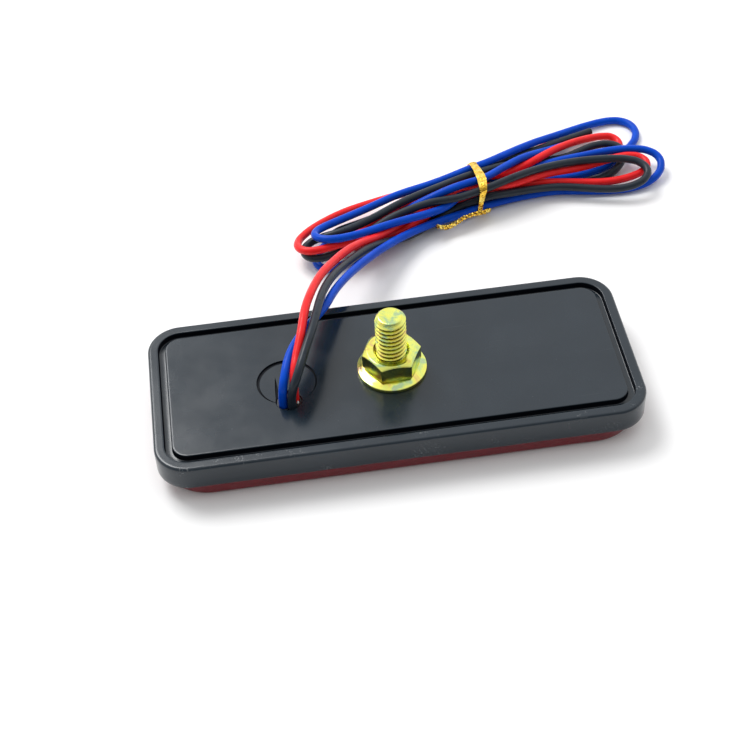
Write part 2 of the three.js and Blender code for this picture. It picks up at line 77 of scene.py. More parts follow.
# ------------------------------------------------------------------ wires
# Centrelines in mm, from the board, out of the hole, over the edge, round the hank to the cut end.
ROUTE_MM = {
    "blue": [
        (-21.60, -5.55, 4.90), (-21.60, -5.55, 7.49), (-21.60, -5.54, 10.09), (-21.29, -5.07, 12.59), (-20.63, -3.25, 14.22), (-19.87, -0.84, 14.77),
        (-18.89, 1.54, 15.05), (-17.61, 3.79, 15.24), (-16.15, 5.93, 15.29), (-14.64, 8.04, 15.18), (-13.13, 10.13, 14.93), (-11.71, 12.26, 14.57),
        (-10.49, 14.51, 14.14), (-9.43, 16.83, 13.64), (-8.36, 19.11, 13.03), (-7.21, 21.32, 12.31), (-6.03, 23.49, 11.52), (-4.81, 25.62, 10.70),
        (-3.51, 27.72, 9.89), (-2.15, 29.77, 9.09), (-0.73, 31.79, 8.29), (0.74, 33.77, 7.50), (2.27, 35.72, 6.73), (3.86, 37.62, 5.97), (5.52, 39.47,
        5.24), (7.31, 41.23, 4.57), (9.22, 42.87, 3.98), (11.25, 44.40, 3.45), (13.40, 45.79, 3.00), (15.66, 47.00, 2.66), (18.03, 48.03, 2.39),
        (20.43, 48.98, 2.14), (22.84, 49.90, 1.90), (25.26, 50.81, 1.72), (27.68, 51.73, 1.57), (30.12, 52.58, 1.41), (32.61, 53.30, 1.24), (35.13,
        53.89, 1.09), (37.67, 54.37, 0.97), (40.25, 54.70, 0.89), (42.83, 54.84, 0.87), (45.42, 54.72, 0.87), (47.98, 54.32, 0.87), (50.53, 53.81,
        0.87), (53.08, 53.35, 0.87), (55.64, 52.98, 0.87), (58.23, 52.76, 0.87), (60.82, 52.78, 0.91), (63.39, 53.12, 1.04), (65.83, 53.92, 1.32),
        (67.92, 55.36, 1.75), (69.26, 57.49, 2.28), (69.22, 59.95, 2.89), (67.46, 61.68, 3.46), (65.00, 62.37, 3.85), (62.43, 62.59, 4.07), (59.84,
        62.68, 4.11), (57.25, 62.67, 4.00), (54.66, 62.60, 3.82), (52.08, 62.53, 3.60), (49.50, 62.52, 3.36), (46.92, 62.48, 3.07), (44.36, 62.30,
        2.73), (41.81, 61.98, 2.41), (39.25, 61.65, 2.16), (36.67, 61.52, 1.92), (34.09, 61.57, 1.62), (31.54, 61.28, 1.41), (29.20, 60.22, 1.70),
        (27.26, 58.70, 2.47), (25.57, 56.92, 3.29), (23.98, 54.96, 3.88), (22.38, 52.95, 4.22), (20.63, 51.05, 4.43), (18.61, 49.44, 4.65), (16.34,
        48.22, 4.93), (13.96, 47.25, 5.25), (11.55, 46.35, 5.57), (9.14, 45.46, 5.91), (6.74, 44.52, 6.25), (4.37, 43.53, 6.57), (1.97, 42.57, 6.81),
        (-0.48, 41.75, 6.97), (-3.01, 41.18, 7.04), (-5.59, 40.99, 7.02), (-8.11, 41.50, 6.85), (-9.83, 43.24, 6.32), (-9.58, 45.63, 5.56), (-7.87,
        47.47, 4.99), (-5.72, 48.88, 4.61), (-3.50, 50.17, 4.32), (-1.23, 51.41, 4.08), (1.07, 52.59, 3.91), (3.39, 53.76, 3.80), (5.70, 54.91, 3.76),
        (8.07, 55.98, 3.80), (10.53, 56.79, 3.92), (13.06, 57.31, 4.13), (15.61, 57.71, 4.39), (18.14, 58.16, 4.69), (20.66, 58.69, 5.02), (23.15,
        59.30, 5.38), (25.65, 59.94, 5.72), (28.12, 60.69, 5.84), (30.49, 61.72, 5.70), (32.70, 63.04, 5.37), (34.83, 64.46, 4.95), (36.97, 65.86,
        4.54), (39.15, 67.21, 4.16), (41.37, 68.51, 3.78), (43.59, 69.77, 3.37), (45.84, 70.98, 2.92), (48.11, 72.15, 2.47), (50.39, 73.31, 2.06),
        (52.70, 74.44, 1.70), (55.06, 75.47, 1.40), (57.49, 76.35, 1.17), (59.99, 77.02, 1.01), (62.56, 77.30, 0.92), (65.06, 76.73, 0.87), (66.85,
        74.91, 0.87), (67.35, 72.40, 0.87), (66.69, 69.91, 0.87), (65.23, 67.78, 0.87), (63.40, 65.94, 0.86), (61.49, 64.19, 0.86), (59.55, 62.47,
        0.87), (57.39, 61.05, 0.87), (54.97, 60.13, 0.87), (52.45, 59.52, 0.86), (49.90, 59.01, 0.93), (47.35, 58.65, 1.14), (44.79, 58.42, 1.49),
        (42.25, 58.15, 1.92), (39.72, 57.70, 2.31), (37.23, 57.04, 2.52), (34.78, 56.19, 2.50), (32.36, 55.29, 2.28), (29.92, 54.47, 1.94), (27.46,
        53.75, 1.57), (24.97, 53.07, 1.24), (22.48, 52.43, 1.00), (19.97, 51.78, 0.88), (17.48, 51.04, 0.86), (15.06, 50.12, 0.87), (12.74, 48.96,
        0.87), (10.53, 47.60, 0.90), (8.37, 46.17, 0.95), (6.19, 44.77, 0.97), (3.93, 43.50, 0.96), (1.59, 42.39, 0.91), (-0.79, 41.36, 0.88), (-3.15,
        40.27, 0.87), (-5.52, 39.23, 0.87), (-8.05, 38.80, 0.87), (-10.04, 40.26, 0.87), (-10.08, 42.81, 0.87), (-8.88, 45.09, 0.87), (-7.00, 46.86,
        0.87), (-4.75, 48.14, 0.87), (-2.32, 49.03, 0.86), (0.20, 49.64, 0.86), (2.75, 50.07, 0.95), (5.29, 50.48, 1.28), (7.73, 51.00, 1.96), (10.06,
        51.46, 3.01), (12.36, 51.66, 4.19), (14.70, 51.73, 5.29), (17.12, 51.93, 6.21), (19.60, 52.29, 6.89), (22.11, 52.80, 7.28), (24.62, 53.41,
        7.39), (27.08, 54.20, 7.24), (29.34, 55.42, 6.88), (31.34, 57.01, 6.45), (33.29, 58.66, 6.02), (35.29, 60.26, 5.61), (37.34, 61.79, 5.20),
        (39.45, 63.22, 4.70), (41.60, 64.54, 4.09), (43.78, 65.77, 3.45), (46.02, 66.95, 2.87), (48.29, 68.09, 2.36), (50.60, 69.20, 1.91),
    ],
    "black": [
        (-20.00, -6.30, 4.90), (-20.00, -6.30, 7.50), (-19.99, -6.31, 10.09), (-19.54, -6.21, 12.64), (-18.62, -5.41, 14.89), (-17.58, -3.45, 16.17),
        (-16.63, -1.10, 16.70), (-15.67, 1.27, 17.12), (-14.72, 3.68, 17.34), (-13.90, 6.14, 17.31), (-13.19, 8.63, 17.13), (-12.52, 11.12, 16.79),
        (-11.86, 13.57, 16.27), (-11.15, 15.98, 15.60), (-10.34, 18.33, 14.87), (-9.42, 20.63, 14.09), (-8.42, 22.87, 13.24), (-7.35, 25.05, 12.31),
        (-6.24, 27.17, 11.31), (-5.05, 29.25, 10.31), (-3.76, 31.29, 9.36), (-2.38, 33.29, 8.45), (-0.92, 35.24, 7.55), (0.63, 37.11, 6.64), (2.27,
        38.88, 5.67), (4.02, 40.51, 4.67), (5.90, 42.00, 3.68), (7.90, 43.38, 2.75), (9.98, 44.73, 2.00), (12.10, 46.16, 1.56), (14.24, 47.62, 1.46),
        (16.44, 48.97, 1.65), (18.75, 50.12, 2.00), (21.13, 51.10, 2.33), (23.58, 51.90, 2.58), (26.09, 52.29, 3.07), (28.60, 52.27, 3.76), (31.17,
        52.43, 3.94), (33.72, 52.84, 3.66), (36.25, 53.32, 3.37), (38.81, 53.71, 3.16), (41.39, 53.93, 3.00), (43.98, 53.94, 2.88), (46.56, 53.62,
        2.79), (49.08, 53.02, 2.74), (51.58, 52.30, 2.72), (54.08, 51.61, 2.72), (56.61, 51.04, 2.80), (59.16, 50.69, 3.07), (61.71, 50.85, 3.48),
        (63.99, 51.97, 3.92), (65.04, 54.19, 4.42), (63.94, 56.42, 4.80), (61.72, 57.71, 5.00), (59.21, 58.37, 5.10), (56.63, 58.67, 5.19), (54.04,
        58.74, 5.31), (51.45, 58.63, 5.48), (48.88, 58.34, 5.68), (46.34, 57.87, 5.93), (43.84, 57.25, 6.20), (41.38, 56.47, 6.48), (38.95, 55.58,
        6.73), (36.54, 54.65, 6.89), (34.11, 53.73, 6.92), (31.67, 52.85, 6.81), (29.19, 52.10, 6.62), (26.67, 51.50, 6.40), (24.17, 50.83, 6.29),
        (21.64, 50.25, 6.28), (19.05, 50.11, 6.23), (16.46, 50.05, 6.10), (13.90, 49.69, 5.90), (11.38, 49.11, 5.65), (8.89, 48.46, 5.33), (6.45,
        47.67, 4.95), (4.13, 46.57, 4.53), (1.93, 45.28, 4.11), (-0.26, 43.93, 3.71), (-2.48, 42.61, 3.45), (-4.73, 41.33, 3.36), (-7.07, 40.20,
        3.34), (-9.59, 39.67, 3.33), (-11.93, 40.62, 3.22), (-12.59, 43.02, 3.08), (-11.04, 44.96, 3.30), (-8.58, 45.52, 3.85), (-6.03, 45.65, 4.33),
        (-3.48, 46.03, 4.60), (-1.02, 46.82, 4.71), (1.35, 47.89, 4.76), (3.65, 49.08, 4.81), (5.92, 50.34, 4.87), (8.19, 51.60, 4.95), (10.54, 52.70,
        5.07), (12.96, 53.62, 5.22), (15.42, 54.42, 5.40), (17.91, 55.13, 5.62), (20.41, 55.75, 5.93), (22.91, 56.42, 6.19), (25.33, 57.35, 6.12),
        (27.64, 58.46, 5.75), (29.93, 59.59, 5.29), (32.26, 60.64, 4.84), (34.62, 61.60, 4.31), (36.98, 62.48, 3.70), (39.38, 63.25, 3.07), (41.86,
        63.81, 2.55), (44.41, 64.16, 2.21), (46.99, 64.40, 2.06), (49.54, 64.84, 2.08), (52.01, 65.62, 2.26), (54.47, 66.41, 2.52), (57.02, 66.79,
        2.78), (59.58, 66.48, 2.86), (61.63, 65.00, 2.64), (61.83, 62.54, 2.13), (60.57, 60.36, 1.60), (58.66, 58.66, 1.20), (56.35, 57.50, 0.97),
        (53.84, 56.89, 0.88), (51.25, 56.69, 0.87), (48.66, 56.72, 0.87), (46.06, 56.79, 0.87), (43.46, 56.81, 0.87), (40.87, 56.80, 0.87), (38.27,
        56.79, 0.86), (35.68, 56.72, 0.86), (33.09, 56.51, 0.96), (30.53, 56.20, 1.22), (27.97, 55.81, 1.45), (25.44, 55.27, 1.40), (22.95, 54.55,
        1.19), (20.49, 53.75, 1.02), (18.01, 52.99, 0.91), (15.52, 52.25, 0.86), (13.04, 51.48, 0.86), (10.60, 50.61, 0.88), (8.20, 49.63, 1.03),
        (5.85, 48.56, 1.35), (3.57, 47.41, 1.80), (1.32, 46.20, 2.23), (-0.96, 44.99, 2.52), (-3.37, 44.02, 2.60), (-5.89, 44.12, 2.54), (-6.69,
        46.35, 2.53), (-4.99, 48.24, 2.56), (-2.62, 49.29, 2.53), (-0.18, 50.16, 2.44), (2.19, 51.19, 2.25), (4.52, 52.33, 2.02), (6.86, 53.42, 1.84),
        (9.25, 54.44, 1.74), (11.65, 55.43, 1.77), (14.05, 56.42, 1.91), (16.43, 57.41, 2.19), (18.77, 58.42, 2.65), (21.07, 59.43, 3.32), (23.36,
        60.40, 4.06), (25.76, 61.26, 4.54), (28.24, 61.99, 4.53), (30.66, 62.80, 4.08), (32.95, 63.90, 3.52), (35.18, 65.13, 3.03), (37.46, 66.30,
        2.64), (39.84, 67.28, 2.33), (42.29, 68.13, 2.12), (44.74, 68.97, 2.02), (47.19, 69.85, 1.98), (49.63, 70.71, 1.92), (52.09, 71.54, 1.84),
        (54.54, 72.39, 1.76), (56.98, 73.28, 1.68),
    ],
    "red": [
        (-19.30, -4.50, 4.90), (-19.30, -4.50, 7.49), (-19.29, -4.50, 10.09), (-19.18, -4.49, 12.67), (-18.77, -3.13, 14.71), (-18.12, -0.79, 15.61),
        (-17.34, 1.52, 16.49), (-16.59, 3.88, 17.26), (-15.96, 6.36, 17.66), (-15.36, 8.88, 17.73), (-14.67, 11.37, 17.57), (-13.87, 13.81, 17.19),
        (-13.02, 16.21, 16.68), (-12.14, 18.56, 16.05), (-11.20, 20.87, 15.34), (-10.18, 23.12, 14.54), (-9.08, 25.30, 13.65), (-7.93, 27.43, 12.73),
        (-6.75, 29.55, 11.83), (-5.51, 31.64, 10.92), (-4.22, 33.68, 9.97), (-2.84, 35.64, 8.96), (-1.37, 37.49, 7.91), (0.26, 39.23, 6.88), (2.04,
        40.86, 5.95), (3.94, 42.46, 5.20), (5.88, 44.11, 4.71), (7.83, 45.78, 4.38), (9.82, 47.42, 4.11), (11.88, 48.97, 3.81), (14.04, 50.36, 3.42),
        (16.33, 51.48, 2.97), (18.76, 52.32, 2.62), (21.25, 53.01, 2.48), (23.75, 53.70, 2.56), (26.24, 54.34, 2.90), (28.74, 54.74, 3.45), (31.28,
        54.94, 3.90), (33.87, 55.12, 3.97), (36.43, 55.41, 3.67), (38.95, 55.80, 3.23), (41.50, 56.08, 2.82), (44.07, 56.09, 2.54), (46.65, 55.86,
        2.35), (49.22, 55.55, 2.18), (51.78, 55.21, 2.03), (54.35, 54.81, 1.99), (56.91, 54.46, 2.14), (59.49, 54.38, 2.40), (62.04, 54.72, 2.67),
        (64.43, 55.67, 2.91), (65.99, 57.65, 3.06), (65.28, 60.00, 3.19), (62.91, 60.93, 3.38), (60.34, 60.78, 3.53), (57.81, 60.21, 3.60), (55.31,
        59.52, 3.61), (52.81, 58.83, 3.66), (50.29, 58.24, 3.80), (47.75, 57.74, 4.04), (45.22, 57.25, 4.31), (42.72, 56.63, 4.59), (40.27, 55.82,
        4.85), (37.85, 54.92, 5.05), (35.37, 54.17, 5.17), (32.81, 53.77, 5.21), (30.22, 53.80, 5.27), (27.65, 54.14, 5.44), (25.08, 54.35, 5.65),
        (22.53, 53.96, 5.68), (20.23, 52.86, 5.29), (18.21, 51.37, 4.64), (16.24, 49.83, 3.95), (14.13, 48.46, 3.32), (11.85, 47.32, 2.85), (9.48,
        46.30, 2.62), (7.12, 45.25, 2.73), (4.81, 44.16, 3.18), (2.52, 43.13, 3.84), (0.14, 42.34, 4.50), (-2.34, 41.76, 4.97), (-4.86, 41.21, 5.19),
        (-7.38, 40.58, 5.25), (-9.93, 40.17, 5.22), (-12.41, 40.73, 4.96), (-13.79, 42.77, 4.41), (-13.49, 45.25, 3.85), (-12.19, 47.44, 3.43),
        (-10.42, 49.31, 3.17), (-8.40, 50.93, 2.99), (-6.23, 52.34, 2.88), (-3.95, 53.57, 2.81), (-1.57, 54.60, 2.78), (0.89, 55.42, 2.76), (3.39,
        56.12, 2.76), (5.89, 56.81, 2.74), (8.39, 57.49, 2.70), (10.90, 58.14, 2.65), (13.41, 58.79, 2.63), (15.91, 59.49, 2.66), (18.39, 60.25,
        2.72), (20.85, 61.07, 2.74), (23.33, 61.82, 2.76), (25.90, 61.99, 2.88), (28.31, 61.12, 3.11), (30.61, 59.95, 3.33), (33.16, 59.62, 3.48),
        (35.68, 60.19, 3.60), (38.14, 60.99, 3.78), (40.53, 61.97, 3.99), (42.81, 63.21, 4.07), (45.01, 64.57, 3.97), (47.22, 65.91, 3.74), (49.46,
        67.17, 3.42), (51.75, 68.33, 3.04), (54.09, 69.37, 2.62), (56.48, 70.27, 2.18), (58.95, 70.93, 1.73), (61.45, 70.71, 1.28), (62.56, 68.61,
        0.93), (61.34, 66.38, 0.86), (59.27, 64.83, 0.87), (56.92, 63.73, 0.87), (54.51, 62.79, 0.87), (52.06, 61.92, 0.87), (49.58, 61.16, 0.87),
        (47.06, 60.56, 0.90), (44.51, 60.09, 1.00), (41.97, 59.62, 1.14), (39.42, 59.13, 1.27), (36.87, 58.68, 1.36), (34.30, 58.31, 1.41), (31.73,
        58.03, 1.42), (29.15, 57.72, 1.41), (26.60, 57.27, 1.41), (24.08, 56.65, 1.49), (21.63, 55.82, 1.68), (19.25, 54.83, 1.96), (16.92, 53.73,
        2.27), (14.67, 52.46, 2.48), (12.52, 51.02, 2.50), (10.40, 49.54, 2.33), (8.25, 48.11, 2.03), (6.08, 46.75, 1.64), (3.89, 45.41, 1.26), (1.54,
        44.36, 0.97), (-0.98, 44.45, 0.86), (-1.64, 46.64, 1.25), (0.16, 48.31, 1.94), (2.44, 49.39, 2.53), (4.74, 50.54, 2.88), (6.99, 51.82, 2.98),
        (9.29, 53.01, 2.95), (11.67, 54.05, 2.93), (14.09, 54.97, 2.95), (16.54, 55.82, 2.99), (18.99, 56.68, 2.99), (21.38, 57.68, 2.87), (23.67,
        58.83, 2.49), (25.86, 60.08, 1.89), (28.01, 61.44, 1.36), (30.15, 62.87, 1.05), (32.31, 64.29, 0.92), (34.53, 65.64, 0.87), (36.80, 66.89,
        0.87), (39.12, 68.05, 0.87), (41.49, 69.09, 0.87), (43.91, 70.03, 0.87), (46.34, 70.93, 0.86),
    ],
}
WIRE_D = 1.7

# ------------------------------------------------------------------ small helpers
def value_noise(seed):
    """Smooth repeatable noise of a 3-D point, about -1 to 1."""
    g = np.random.default_rng(seed)
    k = g.normal(size=(10, 3))
    ph = g.uniform(0, 2 * np.pi, 10)
    a = 1 / (1 + np.linalg.norm(k, axis=1))
    a /= a.sum()

    def f(p, scale=1.0):
        return (np.sin(np.asarray(p, float) @ (k.T * scale) + ph) * a).sum(-1) * 1.6

    return f


def mesh_object(name, verts, faces, smooth=35, scale=MM):
    me = bpy.data.meshes.new(name)
    me.from_pydata([tuple(v) for v in np.asarray(verts, float) * scale], [], [tuple(int(i) for i in f) for f in faces])
    me.validate(clean_customdata=True)
    me.update()
    o = bpy.data.objects.new(name, me)
    bpy.context.scene.collection.objects.link(o)
    finish_shading(o, smooth)
    return o


def finish_shading(o, angle):
    me = o.data
    me.shade_smooth()
    me.set_sharp_from_angle(angle=math.radians(angle))


def grid_faces(n_rows, n_cols, closed_cols=True, closed_rows=False, flip=False, start=0):
    f = []
    rows = n_rows if closed_rows else n_rows - 1
    cols = n_cols if closed_cols else n_cols - 1
    for r in range(rows):
        a, b = r * n_cols, ((r + 1) % n_rows) * n_cols
        for c in range(cols):
            d = (c + 1) % n_cols
            q = (a + c, a + d, b + d, b + c)
            f.append(tuple(start + i for i in (q[::-1] if flip else q)))
    return f


def rounded_ring(l, w, r, corner=18, long=60, short=24):
    """Points round a rounded rectangle, always the same count, anticlockwise from above."""
    pts = []
    x, y = l / 2 - r, w / 2 - r
    for cx, cy, a0, n in ((x, -y, -90, short), (x, y, 0, long), (-x, y, 90, short), (-x, -y, 180, long)):
        for k in range(corner + 1):
            a = math.radians(a0 + 90 * k / corner)
            pts.append((cx + r * math.cos(a), cy + r * math.sin(a)))
        ex, ey = {0: (-x, w / 2), -90: (l / 2, y), 90: (-l / 2, -y), 180: (x, -w / 2)}[a0]
        sx, sy = pts[-1]
        for k in range(1, n):
            t = k / n
            pts.append((sx + (ex - sx) * t, sy + (ey - sy) * t))
    return np.array(pts)


def boolean(a, b, how):
    """a with b joined on or cut off, as a new mesh on a; b is removed."""
    m = a.modifiers.new("b", "BOOLEAN")
    m.operation, m.object, m.solver = how, b, "EXACT"
    bpy.context.view_layer.update()
    dep = bpy.context.evaluated_depsgraph_get()
    me = bpy.data.meshes.new_from_object(a.evaluated_get(dep))
    a.modifiers.clear()
    old = a.data
    a.data = me
    bpy.data.meshes.remove(old)
    old_b = b.data
    bpy.data.objects.remove(b)
    bpy.data.meshes.remove(old_b)
    return a


def revolved(name, profile, n=48, cx=0.0, cy=0.0, smooth=35):
    """A closed solid from [radius, z] pairs that begin and end on the axis, or from a closed loop of them."""
    prof = np.array(profile, float)
    a = np.linspace(0, 2 * np.pi, n, endpoint=False)
    closed = prof[0, 0] > 1e-6
    verts, faces = [], []
    if closed:
        for r, z in prof:
            verts += [(cx + r * math.cos(t), cy + r * math.sin(t), z) for t in a]
        faces = grid_faces(len(prof), n, True, True)
    else:
        inner = prof[1:-1]
        for r, z in inner:
            verts += [(cx + r * math.cos(t), cy + r * math.sin(t), z) for t in a]
        faces = grid_faces(len(inner), n)
        lo, hi = len(verts), len(verts) + 1
        verts += [(cx, cy, prof[0, 1]), (cx, cy, prof[-1, 1])]
        last = (len(inner) - 1) * n
        for i in range(n):
            j = (i + 1) % n
            faces.append((lo, j, i))
            faces.append((hi, last + i, last + j))
    return mesh_object(name, verts, faces, smooth)


def prism_object(name, outline, z0, z1):
    n = len(outline)
    verts = [(x, y, z0) for x, y in outline] + [(x, y, z1) for x, y in outline]
    faces = [tuple(range(n))[::-1], tuple(range(n, 2 * n))] + [(i, (i + 1) % n, n + (i + 1) % n, n + i) for i in range(n)]
    return mesh_object(name, verts, faces)


def outward(o):
    """Turns every face of a closed mesh outwards."""
    import bmesh
    bm = bmesh.new()
    bm.from_mesh(o.data)
    bmesh.ops.recalc_face_normals(bm, faces=bm.faces)
    bm.to_mesh(o.data)
    bm.free()
    return o


# ------------------------------------------------------------------ materials
def new_material(name):
    m = bpy.data.materials.new(name)
    m.use_nodes = True
    t = m.node_tree
    b = t.nodes["Principled BSDF"]
    return m, t, b


def coords(t, which="Object"):
    c = t.nodes.new("ShaderNodeTexCoord")
    return c.outputs[which]


def noise(t, vec, scale, detail=4.0, rough=0.55, distort=0.0):
    n = t.nodes.new("ShaderNodeTexNoise")
    n.inputs["Scale"].default_value = scale
    n.inputs["Detail"].default_value = detail
    n.inputs["Roughness"].default_value = rough
    n.inputs["Distortion"].default_value = distort
    t.links.new(vec, n.inputs["Vector"])
    return n.outputs["Fac"]


def ramp(t, fac, stops, mode="LINEAR"):
    r = t.nodes.new("ShaderNodeValToRGB")
    r.color_ramp.interpolation = mode
    e = r.color_ramp.elements
    while len(e) < len(stops):
        e.new(0.5)
    for k, (p, c) in enumerate(stops):
        e[k].position = p
        e[k].color = (c, c, c, 1) if isinstance(c, (int, float)) else (*c, 1)
    t.links.new(fac, r.inputs["Fac"])
    return r.outputs["Color"]


def bump(t, b, height, strength, distance, chain=None):
    n = t.nodes.new("ShaderNodeBump")
    n.inputs["Strength"].default_value = strength
    n.inputs["Distance"].default_value = distance
    t.links.new(height, n.inputs["Height"])
    if chain is not None:
        t.links.new(chain, n.inputs["Normal"])
    t.links.new(n.outputs["Normal"], b.inputs["Normal"])
    return n.outputs["Normal"]


def mixed(t, fac, a, b):
    m = t.nodes.new("ShaderNodeMix")
    m.data_type = "RGBA"
    t.links.new(fac, m.inputs[0])
    t.links.new(a, m.inputs[6])
    t.links.new(b, m.inputs[7])
    return m.outputs[2]


def combine(t, op, a, b):
    m = t.nodes.new("ShaderNodeMath")
    m.operation = op
    m.use_clamp = True
    for k, v in enumerate((a, b)):
        if isinstance(v, (int, float)):
            m.inputs[k].default_value = v
        else:
            t.links.new(v, m.inputs[k])
    return m.outputs[0]


def split(t, vec):
    s = t.nodes.new("ShaderNodeSeparateXYZ")
    t.links.new(vec, s.inputs[0])
    return s.outputs


def band(t, value, lo0, lo1, hi0, hi1):
    """1 between lo1 and hi0, falling to 0 at lo0 and hi1."""
    out = []
    for a, b, top in ((lo0, lo1, 1.0), (hi0, hi1, 0.0)):
        m = t.nodes.new("ShaderNodeMapRange")
        m.inputs["From Min"].default_value = a
        m.inputs["From Max"].default_value = b
        m.inputs["To Min"].default_value = 1.0 - top
        m.inputs["To Max"].default_value = top
        t.links.new(value, m.inputs["Value"])
        out.append(m.outputs["Result"])
    return combine(t, "MULTIPLY", *out)


def plain(name, colours, rough, metallic=0.0, scale=600.0, grain=4000.0, grain_depth=0.00001, spec=0.5, coat=0.0, detail=4.0):
    """A finish with gentle colour, gloss and surface variation."""
    m, t, b = new_material(name)
    v = coords(t)
    n = noise(t, v, scale, detail)
    k = len(colours)
    t.links.new(ramp(t, n, [(0.3 + 0.4 * i / max(k - 1, 1), c) for i, c in enumerate(colours)]), b.inputs["Base Color"])
    t.links.new(ramp(t, noise(t, v, scale * 1.7, 3), [(0.3, rough[0]), (0.7, rough[1])]), b.inputs["Roughness"])
    b.inputs["Metallic"].default_value = metallic
    b.inputs["Specular IOR Level"].default_value = spec
    b.inputs["Coat Weight"].default_value = coat
    bump(t, b, noise(t, v, grain, 2), 0.4, grain_depth)
    return m


def give(o, m):
    o.data.materials.clear()
    o.data.materials.append(m)
    return o


def black_plastic():
    m, t, b = new_material("black_plastic")
    v = coords(t)
    x, y, z = split(t, v)
    base = ramp(t, noise(t, v, 90, 5), [(0.3, (0.0060, 0.0135, 0.0220)), (0.7, (0.0095, 0.0185, 0.0285))])
    # pale scuffs along the rims and corners
    edge = band(t, y, -0.0192, -0.0188, -0.0169, -0.0166)
    edge2 = combine(t, "MULTIPLY", band(t, x, 0.0443, 0.0446, 0.0466, 0.0468), band(t, y, -0.0192, -0.0188, -0.0130, -0.0120))
    edges = combine(t, "MAXIMUM", edge, edge2)
    fine = ramp(t, noise(t, v, 2400, 6, 0.75), [(0.55, 0.0), (0.64, 0.9)])
    patch = ramp(t, noise(t, v, 150, 3), [(0.55, 0.0), (0.66, 1.0)])
    scuff = combine(t, "MULTIPLY", combine(t, "MULTIPLY", edges, fine), patch)
    # a few hair scratches on the panel
    sc = t.nodes.new("ShaderNodeMapping")
    sc.inputs["Rotation"].default_value = (0, 0, 0.6)
    sc.inputs["Scale"].default_value = (60, 2600, 1)
    t.links.new(v, sc.inputs["Vector"])
    hair = ramp(t, noise(t, sc.outputs["Vector"], 1.0, 2), [(0.72, 0.0), (0.76, 1.0)])
    dust = ramp(t, noise(t, v, 2600, 2), [(0.76, 0.0), (0.80, 1.0)])
    marks = combine(t, "MAXIMUM", scuff, combine(t, "MULTIPLY", dust, 0.25))
    marks = combine(t, "MAXIMUM", marks, combine(t, "MULTIPLY", hair, 0.06))
    pale = ramp(t, noise(t, v, 3000, 2), [(0.3, (0.10, 0.11, 0.12)), (0.7, (0.30, 0.31, 0.32))])
    # painted shade: the recessed mouldings (groove, crescent, nick, hole) get a near-black mottled colour and less
    # specular, standing in for the shade that falls in them
    recess_shade_mask = band(t, z, 0.00732, 0.00736, 0.00842, 0.00850)
    q = t.nodes.new("ShaderNodeCombineXYZ")
    for k, (axis, half) in enumerate(((x, 0.0400), (y, 0.0125))):
        a = t.nodes.new("ShaderNodeMath")
        a.operation = "ABSOLUTE"
        t.links.new(axis, a.inputs[0])
        m2 = t.nodes.new("ShaderNodeMath")
        m2.operation = "SUBTRACT"
        m2.use_clamp = True
        t.links.new(a.outputs[0], m2.inputs[0])
        m2.inputs[1].default_value = half
        t.links.new(m2.outputs[0], q.inputs[k])
    ln = t.nodes.new("ShaderNodeVectorMath")
    ln.operation = "LENGTH"
    t.links.new(q.outputs[0], ln.inputs[0])
    recess_shade_mask = combine(t, "MULTIPLY", recess_shade_mask, band(t, ln.outputs["Value"], -1.0, -0.9, 0.00475, 0.00485))
    # near-black painted shade colour for the recesses
    painted_recess_shade = ramp(t, noise(t, v, 1800, 3), [(0.3, (0.0012, 0.0022, 0.0050)), (0.7, (0.0022, 0.0040, 0.0085))])
    t.links.new(mixed(t, recess_shade_mask, mixed(t, marks, base, pale), painted_recess_shade), b.inputs["Base Color"])
    t.links.new(ramp(t, recess_shade_mask, [(0.0, 0.5), (1.0, 0.12)]), b.inputs["Specular IOR Level"])
    gloss = ramp(t, noise(t, v, 160, 4), [(0.35, 0.17), (0.68, 0.25)])
    dull = ramp(t, noise(t, v, 900, 2), [(0.3, 0.5), (0.7, 0.6)])
    t.links.new(mixed(t, combine(t, "MAXIMUM", marks, recess_shade_mask), gloss, dull), b.inputs["Roughness"])
    b.inputs["IOR"].default_value = 1.5
    first = bump(t, b, noise(t, v, 45, 2), 0.25, 0.00008)
    second = bump(t, b, noise(t, v, 7000, 2), 0.12, 0.000004, first)
    bump(t, b, marks, 0.4, 0.00003, second)
    return m


def red_lens():
    m, t, b = new_material("red_lens")
    v = coords(t)
    t.links.new(ramp(t, noise(t, v, 1100, 4, 0.7), [(0.3, (0.20, 0.008, 0.020)), (0.7, (0.42, 0.020, 0.036))]), b.inputs["Base Color"])
    t.links.new(ramp(t, noise(t, v, 500, 3), [(0.3, 0.10), (0.7, 0.17)]), b.inputs["Roughness"])
    b.inputs["Transmission Weight"].default_value = 0.55
    b.inputs["IOR"].default_value = 1.49
    bump(t, b, noise(t, v, 1800, 2), 0.12, 0.00001)
    return m


